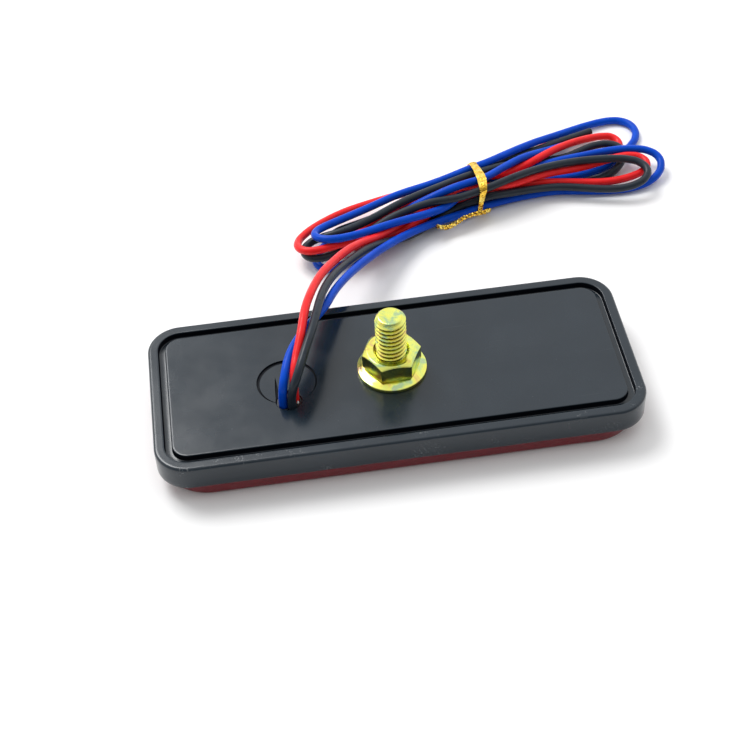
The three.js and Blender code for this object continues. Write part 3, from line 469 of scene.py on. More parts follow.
def zinc(name, seed, roots=False):
    """Yellow chromate on zinc: a metal with drifting gold, green and pink."""
    m, t, b = new_material(name)
    v = coords(t)
    mp = t.nodes.new("ShaderNodeMapping")
    mp.inputs["Location"].default_value = (0.013 * seed, 0.007 * seed, 0.003 * seed)
    t.links.new(v, mp.inputs["Vector"])
    w = mp.outputs["Vector"]
    hue = noise(t, w, 300, 3, 0.5, 0.8)
    tint = (ramp(t, hue, [(0.24, (0.60, 0.38, 0.28)), (0.34, (0.72, 0.54, 0.18)), (0.45, (0.80, 0.76, 0.15)), (0.55, (0.72, 0.77, 0.19)), (0.66, (0.40, 0.58, 0.30)), (0.80, (0.70, 0.44, 0.36))]))
    if roots:                                               # oil and shade in the thread roots
        x, y, z = split(t, v)
        q = t.nodes.new("ShaderNodeCombineXYZ")
        t.links.new(x, q.inputs[0])
        t.links.new(y, q.inputs[1])
        ln = t.nodes.new("ShaderNodeVectorMath")
        ln.operation = "LENGTH"
        t.links.new(q.outputs[0], ln.inputs[0])
        low = combine(t, "MULTIPLY", band(t, ln.outputs["Value"], -1.0, -0.9, 0.00248, 0.00278), band(t, z, 0.0, 0.001, 0.0214, 0.0218))
        dark = ramp(t, noise(t, w, 1500, 2), [(0.3, (0.05, 0.035, 0.012)), (0.7, (0.10, 0.075, 0.022))])
        tint = mixed(t, low, tint, dark)
    t.links.new(tint, b.inputs["Base Color"])
    t.links.new(ramp(t, noise(t, w, 900, 4), [(0.3, 0.13), (0.7, 0.24)]), b.inputs["Roughness"])
    b.inputs["Metallic"].default_value = 1.0
    n = bump(t, b, noise(t, w, 3500, 3), 0.16, 0.000012)
    bump(t, b, noise(t, w, 600, 2), 0.14, 0.00004, n)
    return m


def pvc(name, dark, light, sheen=0.4):
    m, t, b = new_material(name)
    v = coords(t)
    t.links.new(ramp(t, noise(t, v, 220, 4), [(0.3, dark), (0.7, light)]), b.inputs["Base Color"])
    t.links.new(ramp(t, noise(t, v, 700, 3), [(0.3, 0.26), (0.7, 0.40)]), b.inputs["Roughness"])
    b.inputs["Specular IOR Level"].default_value = sheen
    bump(t, b, noise(t, v, 2400, 2), 0.2, 0.000012)
    return m


def foil():
    m, t, b = new_material("gold_foil")
    v = coords(t)
    t.links.new(ramp(t, noise(t, v, 900, 4, 0.6), [(0.3, (0.34, 0.17, 0.015)), (0.46, (0.90, 0.56, 0.06)), (0.70, (1.0, 0.80, 0.20))]), b.inputs["Base Color"])
    t.links.new(ramp(t, noise(t, v, 1500, 3), [(0.3, 0.06), (0.7, 0.16)]), b.inputs["Roughness"])
    b.inputs["Metallic"].default_value = 1.0
    vo = t.nodes.new("ShaderNodeTexVoronoi")
    vo.feature = "DISTANCE_TO_EDGE"
    vo.inputs["Scale"].default_value = 1300
    t.links.new(v, vo.inputs["Vector"])
    n = bump(t, b, vo.outputs["Distance"], 0.5, 0.00025)
    bump(t, b, noise(t, v, 2400, 4), 0.5, 0.00012, n)
    return m


def board_material():
    m, t, b = new_material("board")
    v = coords(t)
    br = t.nodes.new("ShaderNodeTexBrick")
    br.inputs["Scale"].default_value = 95
    br.inputs["Mortar Size"].default_value = 0.035
    br.inputs["Brick Width"].default_value = 0.9
    br.inputs["Row Height"].default_value = 0.36
    t.links.new(v, br.inputs["Vector"])
    mask = ramp(t, noise(t, v, 800, 3), [(0.3, (0.66, 0.67, 0.64)), (0.7, (0.74, 0.75, 0.72))])
    track = ramp(t, noise(t, v, 500, 3), [(0.3, (0.50, 0.53, 0.48)), (0.7, (0.58, 0.60, 0.55))])
    t.links.new(mixed(t, br.outputs["Fac"], mask, track), b.inputs["Base Color"])
    t.links.new(ramp(t, noise(t, v, 1200, 2), [(0.3, 0.38), (0.7, 0.5)]), b.inputs["Roughness"])
    bump(t, b, br.outputs["Fac"], 0.5, 0.00003)
    return m


def led_material():
    m, t, b = new_material("led")
    z = split(t, coords(t))[2]
    v = coords(t)
    dome = band(t, z, -1, 0, 0.00305, 0.00311)
    body = ramp(t, noise(t, v, 1500, 2), [(0.3, (0.72, 0.71, 0.66)), (0.7, (0.80, 0.79, 0.74))])
    phos = ramp(t, noise(t, v, 2500, 2), [(0.3, (0.72, 0.52, 0.06)), (0.7, (0.82, 0.62, 0.10))])
    t.links.new(mixed(t, dome, body, phos), b.inputs["Base Color"])
    t.links.new(ramp(t, noise(t, v, 3000, 2), [(0.3, 0.25), (0.7, 0.4)]), b.inputs["Roughness"])
    bump(t, b, noise(t, v, 6000, 2), 0.3, 0.00001)
    return m


def ended(name, body, ends, at):
    """A chip part with bright end caps."""
    m, t, b = new_material(name)
    v = coords(t)
    gx = split(t, coords(t, "Generated"))[0]
    mid = band(t, gx, at - 0.01, at, 1 - at, 1 - at + 0.01)
    e = ramp(t, noise(t, v, 2600, 3), [(0.3, ends[0]), (0.7, ends[1])])
    c = ramp(t, noise(t, v, 2200, 3), [(0.3, body[0]), (0.7, body[1])])
    t.links.new(mixed(t, mid, e, c), b.inputs["Base Color"])
    t.links.new(ramp(t, mid, [(0.0, 0.28), (1.0, 0.55)]), b.inputs["Roughness"])
    t.links.new(ramp(t, mid, [(0.0, 1.0), (1.0, 0.0)]), b.inputs["Metallic"])
    bump(t, b, noise(t, v, 5000, 2), 0.3, 0.00001)
    return m


M = {
    "black_plastic": black_plastic(),
    "red_lens": red_lens(),
    "zinc_bolt": zinc("zinc_bolt", 1, True),
    "zinc_nut": zinc("zinc_nut", 2),
    "zinc_washer": zinc("zinc_washer", 3),
    "wire_blue": pvc("wire_blue", (0.0, 0.050, 0.44), (0.0, 0.070, 0.56), 0.12),
    "wire_black": pvc("wire_black", (0.010, 0.0165, 0.026), (0.017, 0.026, 0.038), 0.28),
    "wire_red": pvc("wire_red", (0.74, 0.010, 0.012), (0.88, 0.020, 0.024), 0.22),
    "foil": foil(),
    "board": board_material(),
    "led": led_material(),
    "resistor": ended("resistor", ((0.015, 0.015, 0.016), (0.03, 0.03, 0.031)), ((0.55, 0.56, 0.57), (0.7, 0.7, 0.7)), 0.17),
    "diode": ended("diode", ((0.02, 0.02, 0.022), (0.035, 0.035, 0.037)), ((0.55, 0.56, 0.57), (0.7, 0.7, 0.7)), 0.1),
    "copper": plain("copper", [(0.70, 0.32, 0.16), (0.85, 0.45, 0.26)], (0.25, 0.4), 1.0, 2500),
    "solder": plain("solder", [(0.55, 0.56, 0.58), (0.75, 0.76, 0.78)], (0.2, 0.35), 1.0, 1800),
    "sealant": plain("sealant", [(0.008, 0.009, 0.011), (0.018, 0.020, 0.023)], (0.35, 0.55), 0.0, 900, 1500, 0.00006),
    # the bead's pale colour is a painted highlight standing in for the gloss on dark sealant
    "glue_painted_highlight": plain("glue_painted_highlight", [(0.62, 0.62, 0.60), (0.82, 0.82, 0.80)], (0.2, 0.35), 0.0, 900, 1500, 0.00004),
    "gasket": plain("gasket", [(0.010, 0.010, 0.011), (0.022, 0.022, 0.024)], (0.6, 0.8), 0.0, 700),
}

# ------------------------------------------------------------------ housing
LENGTH, WIDTH, CORNER_R, BACK_Z = 93.0, 38.0, 6.5, 8.6
Z0, WALL, BACK_T = 3.5, 2.2, 2.0
RIM_W, GROOVE_W, GROOVE_D = 2.0, 1.5, 1.3
HOLE = (-20.5, -4.9)
HOLE_R = 2.45


def arc(cx, cz, r, a0, a1, n):
    return [(cx + r * math.cos(math.radians(a)), cz + r * math.sin(math.radians(a))) for a in np.linspace(a0, a1, n)]


def housing():
    top, g = BACK_Z, BACK_Z - GROOVE_D
    g2 = RIM_W + GROOVE_W
    prof = [(WALL, Z0)]                                     # (inset from the outline, height)
    prof += arc(0.18, Z0 + 0.18, 0.18, 270, 180, 4)
    prof += [(0.0, Z0 + 1.2), (0.0, top - 1.6)]
    prof += arc(0.55, top - 0.55, 0.55, 180, 90, 8)
    prof += [(0.8, top), (RIM_W - 0.35, top)]
    prof += arc(RIM_W - 0.14, top - 0.14, 0.14, 90, 0, 5)
    prof += [(RIM_W + 0.01, g + 0.5)]
    prof += arc(RIM_W + 0.27, g + 0.25, 0.25, 180, 270, 5)
    prof += arc(g2 - 0.27, g + 0.25, 0.25, 270, 360, 5)
    prof += [(g2 - 0.01, top - 0.4)]
    prof += arc(g2 + 0.14, top - 0.14, 0.14, 180, 90, 5)
    prof += [(g2 + 0.4, top), (g2 + 1.2, top)]
    rings, wob = [], value_noise(5)
    for inset, z in prof:
        p = rounded_ring(LENGTH - 2 * inset, WIDTH - 2 * inset, max(CORNER_R - inset, 0.8))
        zz = np.full(len(p), z)
        if z < Z0 + 0.25 and inset < 1:                     # the moulded lower edge is a little uneven
            zz = zz + 0.09 * wob(np.c_[p, np.zeros(len(p))], 0.45) * (1 - (z - Z0) / 0.25)
        rings.append(np.c_[p, zz])
    n = len(rings[0])
    inner = rounded_ring(LENGTH - 2 * WALL, WIDTH - 2 * WALL, CORNER_R - WALL)
    lid = np.c_[inner, np.full(n, BACK_Z - BACK_T)]
    verts = np.vstack([lid] + rings)
    faces = grid_faces(len(rings) + 1, n, True, False, True)
    faces.append(tuple(range(n)))
    last = len(rings) * n
    faces.append(tuple(last + i for i in range(n))[::-1])
    o = outward(mesh_object("rear_housing_visual", verts, faces))

    head_top = BACK_Z - BACK_T - 0.05
    hexa = lambda af, turn=0: [(af / 2 / math.cos(math.pi / 6) * math.cos(math.radians(60 * k + turn)), af / 2 / math.cos(math.pi / 6) * math.sin(math.radians(60 * k + turn))) for k in range(6)]
    boolean(o, outward(revolved("c", [(0, head_top - 2.8), (7.4, head_top - 2.8), (7.4, 6.9), (0, 6.9)], 64)), "UNION")
    boolean(o, outward(prism_object("c", hexa(10.6), 1.0, BACK_Z - BACK_T)), "DIFFERENCE")
    boolean(o, outward(revolved("c", [(0, 3.0), (3.25, 3.0), (3.25, top + 1), (0, top + 1)], 64)), "DIFFERENCE")
    for x, y in ((-40, 12.6), (40, 12.6), (-40, -12.6), (40, -12.6)):
        post = [(0, 3.3), (1.3, 3.3), (1.6, 3.55), (1.6, 3.85), (0.9, 3.86), (0.9, 4.7), (2.0, 4.7), (2.0, 6.9), (0, 6.9)]
        boolean(o, outward(revolved("c", post, 28, x, y)), "UNION")
    # wire hole with a softened mouth
    boolean(o, outward(revolved("c", [(0, 5), (HOLE_R, 5), (HOLE_R, top - 0.18), (HOLE_R + 0.06, top - 0.06), (HOLE_R + 0.2, top + 0.05), (HOLE_R + 0.2, top + 1), (0, top + 1)], 48, *HOLE)), "DIFFERENCE")
    # tapered nick to the left of the hole
    nick = [(-22.95, -4.8), (-22.1, -4.0), (-22.2, -2.4), (-22.3, -1.0), (-22.42, 0.6), (-22.5, 1.7), (-22.66, 0.4), (-22.78, -1.0), (-22.88, -2.8)]
    boolean(o, outward(prism_object("c", nick, top - 0.45, top + 1)), "DIFFERENCE")
    # crescent mark
    a = np.linspace(0, 2 * np.pi, 96, endpoint=False)
    disc = prism_object("c", [(-20.4 + 5.8 * math.cos(t), 5.8 * math.sin(t)) for t in a], top - 0.35, top + 1)
    core = prism_object("d", [(-20.3 + 5.35 * math.cos(t), -0.42 + 5.35 * math.sin(t)) for t in a], top - 1.5, top + 2)
    boolean(outward(disc), outward(core), "DIFFERENCE")
    boolean(o, disc, "DIFFERENCE")
    finish_shading(o, 32)
    return o


house = housing()
give(house, M["black_plastic"])
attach(house, "light")
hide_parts("rear_housing")


# ------------------------------------------------------------------ lens
def lens():
    inset, top, face, wall, er = 0.8, 3.3, 1.6, 1.6, 0.9
    l, w, r = LENGTH - 2 * inset, WIDTH - 2 * inset, CORNER_R - inset
    prof = [(0.0, top), (0.0, top - 0.6)] + arc(er, er, er, 180, 270, 9)[0:] + [(er + 0.6, 0.0), (er + 2.0, 0.0)]
    rings = []
    for i, z in prof:
        p = rounded_ring(l - 2 * i, w - 2 * i, 9.4 - 1.4 * z / top - i * 0.9)
        rings.append(np.c_[p, np.full(len(p), z)])
    n = len(rings[0])
    inner = rounded_ring(l - 2 * wall, w - 2 * wall, 7.2)
    seq = [np.c_[inner, np.full(n, face)], np.c_[inner, np.full(n, top)]] + rings
    verts = np.vstack(seq)
    faces = grid_faces(len(seq), n, True, False, True)
    faces.append(tuple(range(n)))
    last = (len(seq) - 1) * n
    faces.append(tuple(last + i for i in range(n))[::-1])
    o = outward(mesh_object("lens_visual", verts, faces))
    # pillow optics on the inside of the face
    nx, ny, q = 28, 9, 6
    xs = np.linspace(-41.4, 41.4, nx * q + 1)
    ys = np.linspace(-13.5, 13.5, ny * q + 1)
    gx, gy = np.meshgrid(xs, ys)
    h = face + 0.08 + 0.42 * np.abs(np.sin(np.pi * (gx + 41.4) / 2.957)) ** 0.7 * np.abs(np.sin(np.pi * (gy + 13.5) / 3.0)) ** 0.7
    k = gx.size
    top_v = np.c_[gx.ravel(), gy.ravel(), h.ravel()]
    bot_v = np.c_[gx.ravel(), gy.ravel(), np.full(k, face - 0.3)]
    rows, cols = gx.shape
    f = grid_faces(rows, cols, False)
    fb = [tuple(k + i for i in q4[::-1]) for q4 in f]
    edge = [c for c in range(cols)] + [r_ * cols + cols - 1 for r_ in range(1, rows)] + [(rows - 1) * cols + c for c in range(cols - 2, -1, -1)] + [r_ * cols for r_ in range(rows - 2, 0, -1)]
    side = [(edge[i], edge[(i + 1) % len(edge)], k + edge[(i + 1) % len(edge)], k + edge[i]) for i in range(len(edge))]
    opt = outward(mesh_object("c", np.vstack([top_v, bot_v]), f + fb + side))
    boolean(o, opt, "UNION")
    finish_shading(o, 32)
    return o


lens_o = lens()
give(lens_o, M["red_lens"])
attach(lens_o, "light")
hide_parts("lens")

# ------------------------------------------------------------------ stud, washer and nut
PITCH_MM, CREST, DEPTH = 1.0, 2.95, 0.58
VALLEY_Z, VALLEY_A = 21.0, math.radians(264.1)
TIP_Z, TIP_R = 22.55, 2.27
HEAD_TOP, HEAD_H = 6.55, 4.0


def thread_r(theta, z, root_trim=0.0):
    """Radius of the right-hand thread's surface."""
    u = z - VALLEY_Z - PITCH_MM * (theta - VALLEY_A) / (2 * np.pi)
    u = np.abs((u / PITCH_MM) % 1.0 - 0.0)
    u = np.minimum(u, 1 - u)                                # 0 in a valley, 0.5 on a crest
    s = np.clip((u - 0.075) / 0.345, 0, 1)
    s = s * 0.82 + 0.18 * s * s * (3 - 2 * s)
    return CREST - DEPTH * (1 - s)


def bolt():
    nth = 96
    th = np.linspace(0, 2 * np.pi, nth, endpoint=False)
    zs = np.r_[np.arange(HEAD_TOP - 0.3, 9.0, 0.25), np.arange(9.0, TIP_Z - 0.11, 0.05), np.linspace(TIP_Z - 0.1, TIP_Z, 5)]
    rows = []
    for z in zs:
        r = thread_r(th, z)
        run_in = np.clip((z - 9.0) / 0.8, 0, 1)
        r = CREST * (1 - run_in) + r * run_in if z < 9.8 else r
        cone = TIP_R + (TIP_Z - z) * 0.92
        if z > TIP_Z - 0.1:
            cone = TIP_R - 0.05 + 0.05 * math.sqrt(max(0.0, 1 - ((z - TIP_Z + 0.1) / 0.1) ** 2)) + (TIP_Z - z) * 0.9
        r = np.minimum(r, cone)
        rows.append(np.c_[r * np.cos(th), r * np.sin(th), np.full(nth, z)])
    # the cold-formed tip is very slightly dished
    for k, rr in enumerate((1.9, 1.2, 0.5)):
        rows.append(np.c_[rr * np.cos(th), rr * np.sin(th), np.full(nth, TIP_Z - 0.015 * (k + 1))])
    verts = np.vstack(rows)
    faces = grid_faces(len(rows), nth)
    last = (len(rows) - 1) * nth
    faces.append(tuple(range(nth))[::-1])
    faces.append(tuple(last + i for i in range(nth)))
    shank = outward(mesh_object("mounting_bolt_visual", verts, faces))
    c = 5.0
    hexa = [(10 / 2 / math.cos(math.pi / 6) * math.cos(math.radians(60 * k)), 10 / 2 / math.cos(math.pi / 6) * math.sin(math.radians(60 * k))) for k in range(6)]
    head = outward(prism_object("c", hexa, HEAD_TOP - HEAD_H, HEAD_TOP))
    barrel = outward(revolved("c", [(0, HEAD_TOP - HEAD_H), (c - 0.1, HEAD_TOP - HEAD_H), (c + 1.0, HEAD_TOP - HEAD_H + 0.65), (c + 1.0, HEAD_TOP + 0.5), (0, HEAD_TOP + 0.5)], 72))
    boolean(head, barrel, "INTERSECT")
    boolean(shank, head, "UNION")
    finish_shading(shank, 40)
    return shank


bolt_o = bolt()
give(bolt_o, M["zinc_bolt"])
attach(bolt_o, "light")
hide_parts("mounting_bolt")

WZ = BACK_Z + 0.02


def washer():
    n, R, ri, z = 120, 6.7, 3.27, WZ
    prof = arc(ri + 0.1, z + 0.1, 0.1, 180, 270, 4) + [(5.0, z)] + arc(R - 0.16, z + 0.16, 0.16, 270, 360, 6)
    prof += [(R, z + 0.45)] + arc(R - 0.16, z + 0.62, 0.16, 0, 68, 6) + [(R - 0.3, z + 0.83), (6.0, z + 1.0), (5.5, z + 1.22)] + [(5.2, z + 1.3), (ri + 0.3, z + 1.3)] + arc(ri + 0.12, z + 1.18, 0.12, 90, 180, 4)
    th = np.linspace(0, 2 * np.pi, n, endpoint=False)
    wob = value_noise(21)
    rows = []
    for r, zz in prof:
        k = (r - ri) / (R - ri)
        dr = 0.035 * k * wob(np.c_[np.cos(th), np.sin(th), np.zeros(n)], 1.4)
        dz = -0.05 * k * np.clip(wob(np.c_[np.cos(th), np.sin(th), np.ones(n)], 1.1), -1, 1) ** 2 * (zz > z + 0.4)
        rows.append(np.c_[(r + dr) * np.cos(th), (r + dr) * np.sin(th), zz + dz])
    return outward(mesh_object("flange_washer_visual", np.vstack(rows), grid_faces(len(rows), n, True, True), 40))


washer_o = washer()
give(washer_o, M["zinc_washer"])
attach(washer_o, "washer")
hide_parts("flange_washer")


def nut():
    z0, z1 = WZ + 1.3 + 0.02, WZ + 1.3 + 0.02 + 3.9
    c, n = 5.0, 288
    th = np.linspace(0, 2 * np.pi, n, endpoint=False)
    turn = math.radians(2.7)
    normals = turn + math.radians(30) + np.arange(6) * math.radians(60)
    d = np.cos(th[:, None] - normals[None, :])
    faces_r = np.where(d > 0.2, c / np.maximum(d, 0.2), 1e3)

    def outer(z):
        barrel = min((c - 0.12) + (z - z0) / math.tan(math.radians(30)), (c - 0.32) + (z1 - z) / math.tan(math.radians(30)))
        allr = np.c_[faces_r, np.full(n, max(barrel, 0.1))]
        k = 22.0
        m = allr.min(1)
        return m - np.log(np.exp(-k * (allr - m[:, None])).sum(1)) / k

    rows = []
    rim = outer(z0)
    for f in (0.0, 0.5):
        r = 3.4 + (rim - 3.4) * f
        rows.append(np.c_[r * np.cos(th), r * np.sin(th), np.full(n, z0)])
    for z in np.r_[z0, z0 + np.linspace(0.03, 0.8, 18), np.linspace(z0 + 0.9, z1 - 1.0, 8), z1 - np.linspace(0.9, 0.03, 20), z1]:
        r = outer(z)
        rows.append(np.c_[r * np.cos(th), r * np.sin(th), np.full(n, z)])
    rim = outer(z1)
    for f in (0.97, 0.5):
        r = 3.5 + (rim - 3.5) * f
        rows.append(np.c_[r * np.cos(th), r * np.sin(th), np.full(n, z1)])
    # countersink and internal thread, which runs with the stud's thread
    for z in np.r_[z1, z1 - 0.05, np.arange(z1 - 0.1, z0 + 0.35, -0.06), np.linspace(z0 + 0.33, z0, 5)]:
        t = thread_r(th, z) + 0.07
        sink = 3.5 - (z1 - z) * 0.8
        low = 3.4 - (z - z0) * 1.2
        r = np.maximum(t, max(sink, low))
        rows.append(np.c_[r * np.cos(th), r * np.sin(th), np.full(n, z)])
    return outward(mesh_object("hex_nut_visual", np.vstack(rows), grid_faces(len(rows), n, True, True), 38))


nut_o = nut()
give(nut_o, M["zinc_nut"])
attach(nut_o, "nut")
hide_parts("hex_nut")


# ------------------------------------------------------------------ wires
def wire(colour):
    pts = np.array(ROUTE_MM[colour]) * MM
    cu = bpy.data.curves.new("wire_" + colour, "CURVE")
    cu.dimensions = "3D"
    sp = cu.splines.new("BEZIER")
    sp.bezier_points.add(len(pts) - 1)
    for p, q in zip(sp.bezier_points, pts):
        p.co = q
        p.handle_left_type = p.handle_right_type = "AUTO"
    sp.resolution_u = 5
    cu.bevel_depth = WIRE_D / 2 * MM
    cu.bevel_resolution = 5
    cu.use_fill_caps = True
    cu.twist_mode = "MINIMUM"
    o = bpy.data.objects.new("wire_" + colour, cu)
    bpy.context.scene.collection.objects.link(o)
    cu.materials.append(M["wire_" + colour])
    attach(o, "light")
    length = float(np.linalg.norm(np.diff(pts, axis=0), axis=1).sum())
    return o, length


def frames(p, first=None):
    """Tangents and steady normals along a line."""
    t = np.gradient(p, axis=0)
    t /= np.linalg.norm(t, axis=1)[:, None]
    n = np.cross(t[0], [0, 0, 1.0]) if first is None else np.array(first, float)
    n -= n @ t[0] * t[0]
    n /= np.linalg.norm(n)
    out = [n]
    for k in range(1, len(p)):
        n = out[-1] - out[-1] @ t[k] * t[k]
        out.append(n / np.linalg.norm(n))
    n = np.array(out)
    return t, n, np.cross(t, n)


def tube(name, path, radius, sides=10, cap=True, smooth=50):
    p = np.asarray(path, float)
    t, n, b = frames(p)
    r = np.broadcast_to(np.asarray(radius, float), (len(p),))
    a = np.linspace(0, 2 * np.pi, sides, endpoint=False)
    rows = [p[k] + r[k] * (np.cos(a)[:, None] * n[k] + np.sin(a)[:, None] * b[k]) for k in range(len(p))]
    v = np.vstack(rows)
    f = grid_faces(len(p), sides)
    f.append(tuple(range(sides))[::-1])
    f.append(tuple((len(p) - 1) * sides + i for i in range(sides)))
    return v, f


def join_parts(name, parts, smooth=50):
    verts, faces, k = [], [], 0
    for v, f in parts:
        verts.append(v)
        faces += [tuple(k + i for i in q) for q in f]
        k += len(v)
    return outward(mesh_object(name, np.vstack(verts), faces, smooth))


def cut_end(colour):
    """The stranded copper that shows at a blunt cut end."""
    p = np.array(ROUTE_MM[colour])
    e, d = p[-1], p[-1] - p[-2]
    d /= np.linalg.norm(d)
    n = np.cross(d, [0, 0, 1.0])
    n /= np.linalg.norm(n)
    b = np.cross(d, n)
    parts = []
    for k in range(7):
        a = math.radians(60 * k)
        off = 0 if k == 6 else 0.27
        c = e + off * (math.cos(a) * n + math.sin(a) * b)
        parts.append(tube("s", [c - 1.4 * d, c - 0.6 * d, c + (0.05 + 0.03 * (k % 3)) * d], 0.13, 10))
    o = join_parts("wire_core_" + colour, parts)
    give(o, M["copper"])
    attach(o, "light")
    return o


WIRES, CORES, LENGTHS = {}, {}, {}
for colour in ("blue", "black", "red"):
    WIRES[colour], LENGTHS[colour] = wire(colour)
    CORES[colour] = cut_end(colour)
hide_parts("lead_blue", "lead_hank")
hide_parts("lead_black")
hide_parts("lead_red")

# ------------------------------------------------------------------ foil twist tie
TIE_C = np.array([26.96, 56.96])
TIE_A = math.radians(13.5)
AX = np.array([math.cos(TIE_A), math.sin(TIE_A)])
PR = np.array([-math.sin(TIE_A), math.cos(TIE_A)])


def hull(points):
    p = sorted(map(tuple, points))
    def half(seq):
        h = []
        for q in seq:
            while len(h) > 1 and (h[-1][0] - h[-2][0]) * (q[1] - h[-2][1]) - (h[-1][1] - h[-2][1]) * (q[0] - h[-2][0]) <= 0:
                h.pop()
            h.append(q)
        return h[:-1]
    return np.array(half(p) + half(p[::-1]))


def tie_loop(clear):
    """Loop round every strand near the tie, as (across, up) pairs, evenly spaced."""
    pts = []
    for line in ROUTE_MM.values():
        p = np.array(line)
        s = np.r_[0, np.cumsum(np.linalg.norm(np.diff(p, axis=0), axis=1))]
        q = np.stack([np.interp(np.arange(0, s[-1], 0.2), s, p[:, k]) for k in range(3)], 1)
        along = (q[:, :2] - TIE_C) @ AX
        near = q[np.abs(along) < 1.2]
        for c in np.c_[(near[:, :2] - TIE_C) @ PR, near[:, 2]]:
            for a in np.linspace(0, 2 * np.pi, 16, endpoint=False):
                pts.append((c[0] + (WIRE_D / 2 + clear) * math.cos(a), max(c[1] + (WIRE_D / 2 + clear) * math.sin(a), 0.12)))
    h = hull(pts)
    h = np.vstack([h, h[:1]])
    s = np.r_[0, np.cumsum(np.linalg.norm(np.diff(h, axis=0), axis=1))]
    t = np.linspace(0, s[-1], 200, endpoint=False)
    return np.stack([np.interp(t, s, h[:, k]) for k in range(2)], 1)


def twist_tie():
    loop = tie_loop(0.14)
    for _ in range(4):
        loop = (np.roll(loop, 1, 0) + loop * 2 + np.roll(loop, -1, 0)) / 4
    tan = np.roll(loop, -1, 0) - np.roll(loop, 1, 0)
    tan /= np.linalg.norm(tan, axis=1)[:, None]
    nor = np.c_[tan[:, 1], -tan[:, 0]]                       # outward for an anticlockwise hull
    wob, wob2, wob3 = value_noise(31), value_noise(32), value_noise(33)
    lo, hi = loop.min(0), loop.max(0)
    rows = []
    half_n = 4
    for k in range(len(loop)):
        v, z = loop[k]
        f = (v - lo[0]) / (hi[0] - lo[0])                    # 0 front, 1 back
        up = (z - lo[1]) / (hi[1] - lo[1])
        along = -0.75 + 2.1 * f + 0.55 * math.sin(3.0 * f + 0.4) * 0.3
        if f < 0.25:
            along -= 1.3 * (1 - up) * (1 - f / 0.25)
        ang = 2 * np.pi * k / len(loop)
        e = np.array([math.cos(ang), math.sin(ang), 0.0])
        width = 0.58 + 0.34 * up * up + 0.15 * wob(e * 3, 1.0)
        lift = 0.12
        top, bot = [], []
        for j in range(half_n * 2 + 1):
            x = (j / half_n - 1) * width
            cr = 0.13 * wob2(np.array([x * 2.2, ang * 7.0, 0.3]), 1.3) + 0.07 * wob3(np.array([x * 4.0, ang * 21.0, 1.0]), 1.2)
            edge = 1 - 0.45 * abs(j / half_n - 1) ** 3
            h = lift * edge + 0.13 + max(cr, -0.12)
            a2 = along + x + 0.06 * wob3(np.array([ang * 16, x, 2.0]), 1.0)
            top.append((a2, v + nor[k, 0] * h, z + nor[k, 1] * h))
            bot.append((a2, v + nor[k, 0] * 0.02, z + nor[k, 1] * 0.02))
        ring = top + bot[::-1]
        rows.append(np.array([[*(TIE_C + AX * a + PR * b), max(c, 0.03)] for a, b, c in ring]))
    n = len(rows[0])
    return outward(mesh_object("twist_tie_visual", np.vstack(rows), grid_faces(len(rows), n, True, True), 28))


def tie_tail():
    path = np.array([[28.9, 50.6, 1.5], [28.2, 49.5, 2.0], [27.0, 48.7, 2.5], [25.0, 48.1, 2.9], [22.6, 47.3, 2.9], [20.6, 46.5, 2.3], [18.9, 45.9, 1.9], [17.5, 45.5, 2.5], [16.4, 45.1, 3.4]])
    s = np.r_[0, np.cumsum(np.linalg.norm(np.diff(path, axis=0), axis=1))]
    t = np.linspace(0, s[-1], 150)
    p = np.stack([np.interp(t, s, path[:, k]) for k in range(3)], 1)
    for _ in range(30):
        p[1:-1] = (p[:-2] + 2 * p[1:-1] + p[2:]) / 4
    tan, n, b = frames(p)
    wob = value_noise(41)
    parts = []
    for side in (0, 1):
        rows = []
        for k in range(len(p)):
            a = t[k] * 2 * np.pi / 2.5 + math.pi * side
            d = math.cos(a) * n[k] + math.sin(a) * b[k]
            e = np.cross(tan[k], d)
            c = p[k] + 0.27 * d
            w = 0.36 + 0.10 * wob(np.array([t[k] * 3.1, side, 0.0]), 1.0)
            th = 0.11
            tilt = 0.5 * wob(np.array([t[k] * 2.3, side * 3.0, 1.0]), 1.0)
            e2 = math.cos(tilt) * e + math.sin(tilt) * d
            d2 = -math.sin(tilt) * e + math.cos(tilt) * d
            ring = []
            for u, q in ((-1, -1), (-0.5, -1.1), (0, -1), (0.5, -1.1), (1, -1), (1, 1), (0.5, 1.25), (0, 1.0), (-0.5, 1.25), (-1, 1)):
                x = c + e2 * u * w + d2 * q * th
                x[2] = max(x[2], 0.03)
                ring.append(x)
            rows.append(np.array(ring))
        m = len(rows[0])
        f = grid_faces(len(rows), m)
        f.append(tuple(range(m))[::-1])
        f.append(tuple((len(rows) - 1) * m + i for i in range(m)))
        parts.append((np.vstack(rows), f))
    return join_parts("twist_tie_tail_visual", parts, 28)


tie_o = give(twist_tie(), M["foil"])
tail_o = give(tie_tail(), M["foil"])
for o, node in ((tie_o, "twist_tie"), (tail_o, "twist_tie_tail")):
    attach(o, "light")
    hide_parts(node)

# ------------------------------------------------------------------ bead of sealant at the mouth of the hole; its pale colour is a painted highlight
def bead():
    th = np.linspace(0, 2 * np.pi, 28, endpoint=False)
    wob = value_noise(51)
    c = np.array([-18.85, -5.75])
    rows = []
    for a in np.linspace(-80, 85, 12):
        a = math.radians(a)
        r = 0.26 * math.cos(a) * (1 + 0.22 * wob(np.c_[np.cos(th), np.sin(th), np.full(28, math.sin(a))] * 1.5, 1.0))
        rows.append(np.c_[c[0] + r * np.cos(th) * 0.8, c[1] + r * np.sin(th) * 1.2, np.full(28, BACK_Z - 0.02 + 0.30 * math.sin(a))])
    f = grid_faces(len(rows), 28)
    f.append(tuple(range(28))[::-1])
    f.append(tuple((len(rows) - 1) * 28 + i for i in range(28)))
    return outward(mesh_object("sealant_bead", np.vstack(rows), f, 60))


# pale colour here is a painted highlight on the sealant bead
bead_o = give(bead(), M["glue_painted_highlight"])
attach(bead_o, "light")

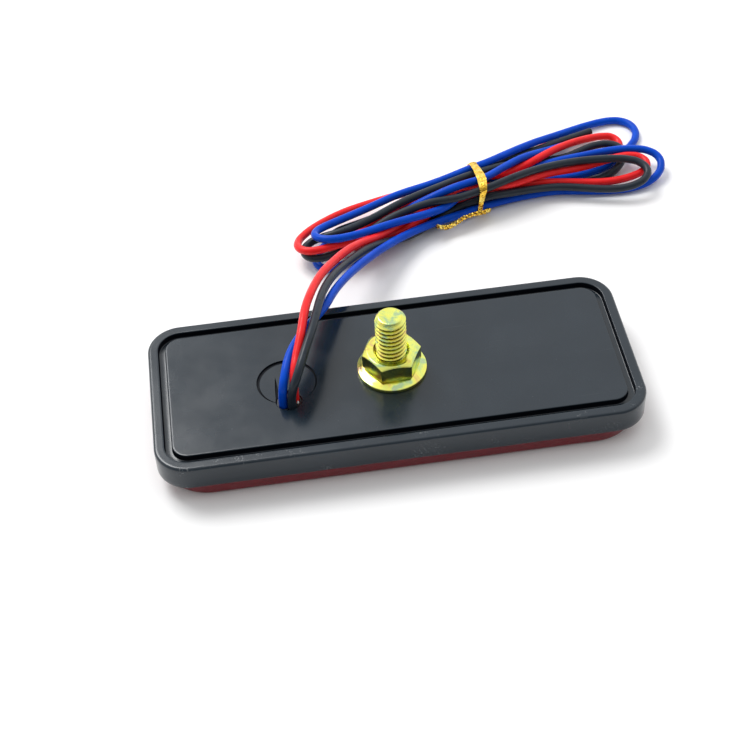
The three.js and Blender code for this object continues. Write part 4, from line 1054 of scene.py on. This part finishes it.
# ------------------------------------------------------------------ carried-over parts
for name, o in N.items():
    if name.startswith("led_"):
        give(o, M["led"])
    elif name.startswith("resistor"):
        give(o, M["resistor"])
    elif name.startswith("diode"):
        give(o, M["diode"])
    elif name.startswith("core_"):
        give(o, M["copper"])
    elif name.startswith("solder_"):
        give(o, M["solder"])
    elif name == "circuit_board":
        give(o, M["board"])
    elif name == "wire_sealant":
        give(o, M["sealant"])
    elif name == "lens_gasket":
        give(o, M["gasket"])


# ------------------------------------------------------------------ table and light
def floor():
    n = 60
    g = np.linspace(-1.6, 1.6, n + 1)
    x, y = np.meshgrid(g, g)
    v = np.c_[x.ravel(), y.ravel(), np.full(x.size, -0.00002)]
    o = mesh_object("floor", v, grid_faces(n + 1, n + 1, False), 30, 1.0)
    m, t, b = new_material("floor")
    c = coords(t)
    t.links.new(ramp(t, noise(t, c, 30, 3), [(0.3, (0.90, 0.90, 0.902)), (0.7, (0.92, 0.92, 0.922))]), b.inputs["Base Color"])
    t.links.new(ramp(t, noise(t, c, 90, 3), [(0.3, 0.55), (0.7, 0.65)]), b.inputs["Roughness"])
    b.inputs["Specular IOR Level"].default_value = 0.3
    give(o, m)
    return o


floor()


def area(name, at, to, size, power, colour=(1, 1, 1)):
    li = bpy.data.lights.new(name, "AREA")
    li.shape = "RECTANGLE"
    li.size, li.size_y = size
    li.energy = power
    li.color = colour
    o = bpy.data.objects.new(name, li)
    o.location = at
    o.rotation_euler = (Vector(to) - Vector(at)).to_track_quat("-Z", "Y").to_euler()
    bpy.context.scene.collection.objects.link(o)
    return o


area("key", (-0.40, 0.62, 0.95), (0.0, 0.03, 0.0), (0.55, 0.55), 9.0)

world = bpy.data.worlds.new("studio")
bpy.context.scene.world = world
world.use_nodes = True
bg = world.node_tree.nodes["Background"]
wt = world.node_tree
wy = split(wt, coords(wt, "Generated"))[1]
wr = wt.nodes.new("ShaderNodeMapRange")
wr.interpolation_type = "SMOOTHSTEP"
wr.inputs["From Min"].default_value = -0.85
wr.inputs["From Max"].default_value = 0.35
wr.inputs["To Min"].default_value = 0.34
wr.inputs["To Max"].default_value = 1.16
wt.links.new(wy, wr.inputs["Value"])
wt.links.new(wr.outputs["Result"], bg.inputs["Strength"])
bg.inputs["Color"].default_value = (1.0, 1.0, 1.0, 1)

sc = bpy.context.scene
sc.view_settings.view_transform = "Standard"
sc.view_settings.look = "None"
sc.view_settings.exposure = 0.0
sc.view_settings.gamma = 1.0
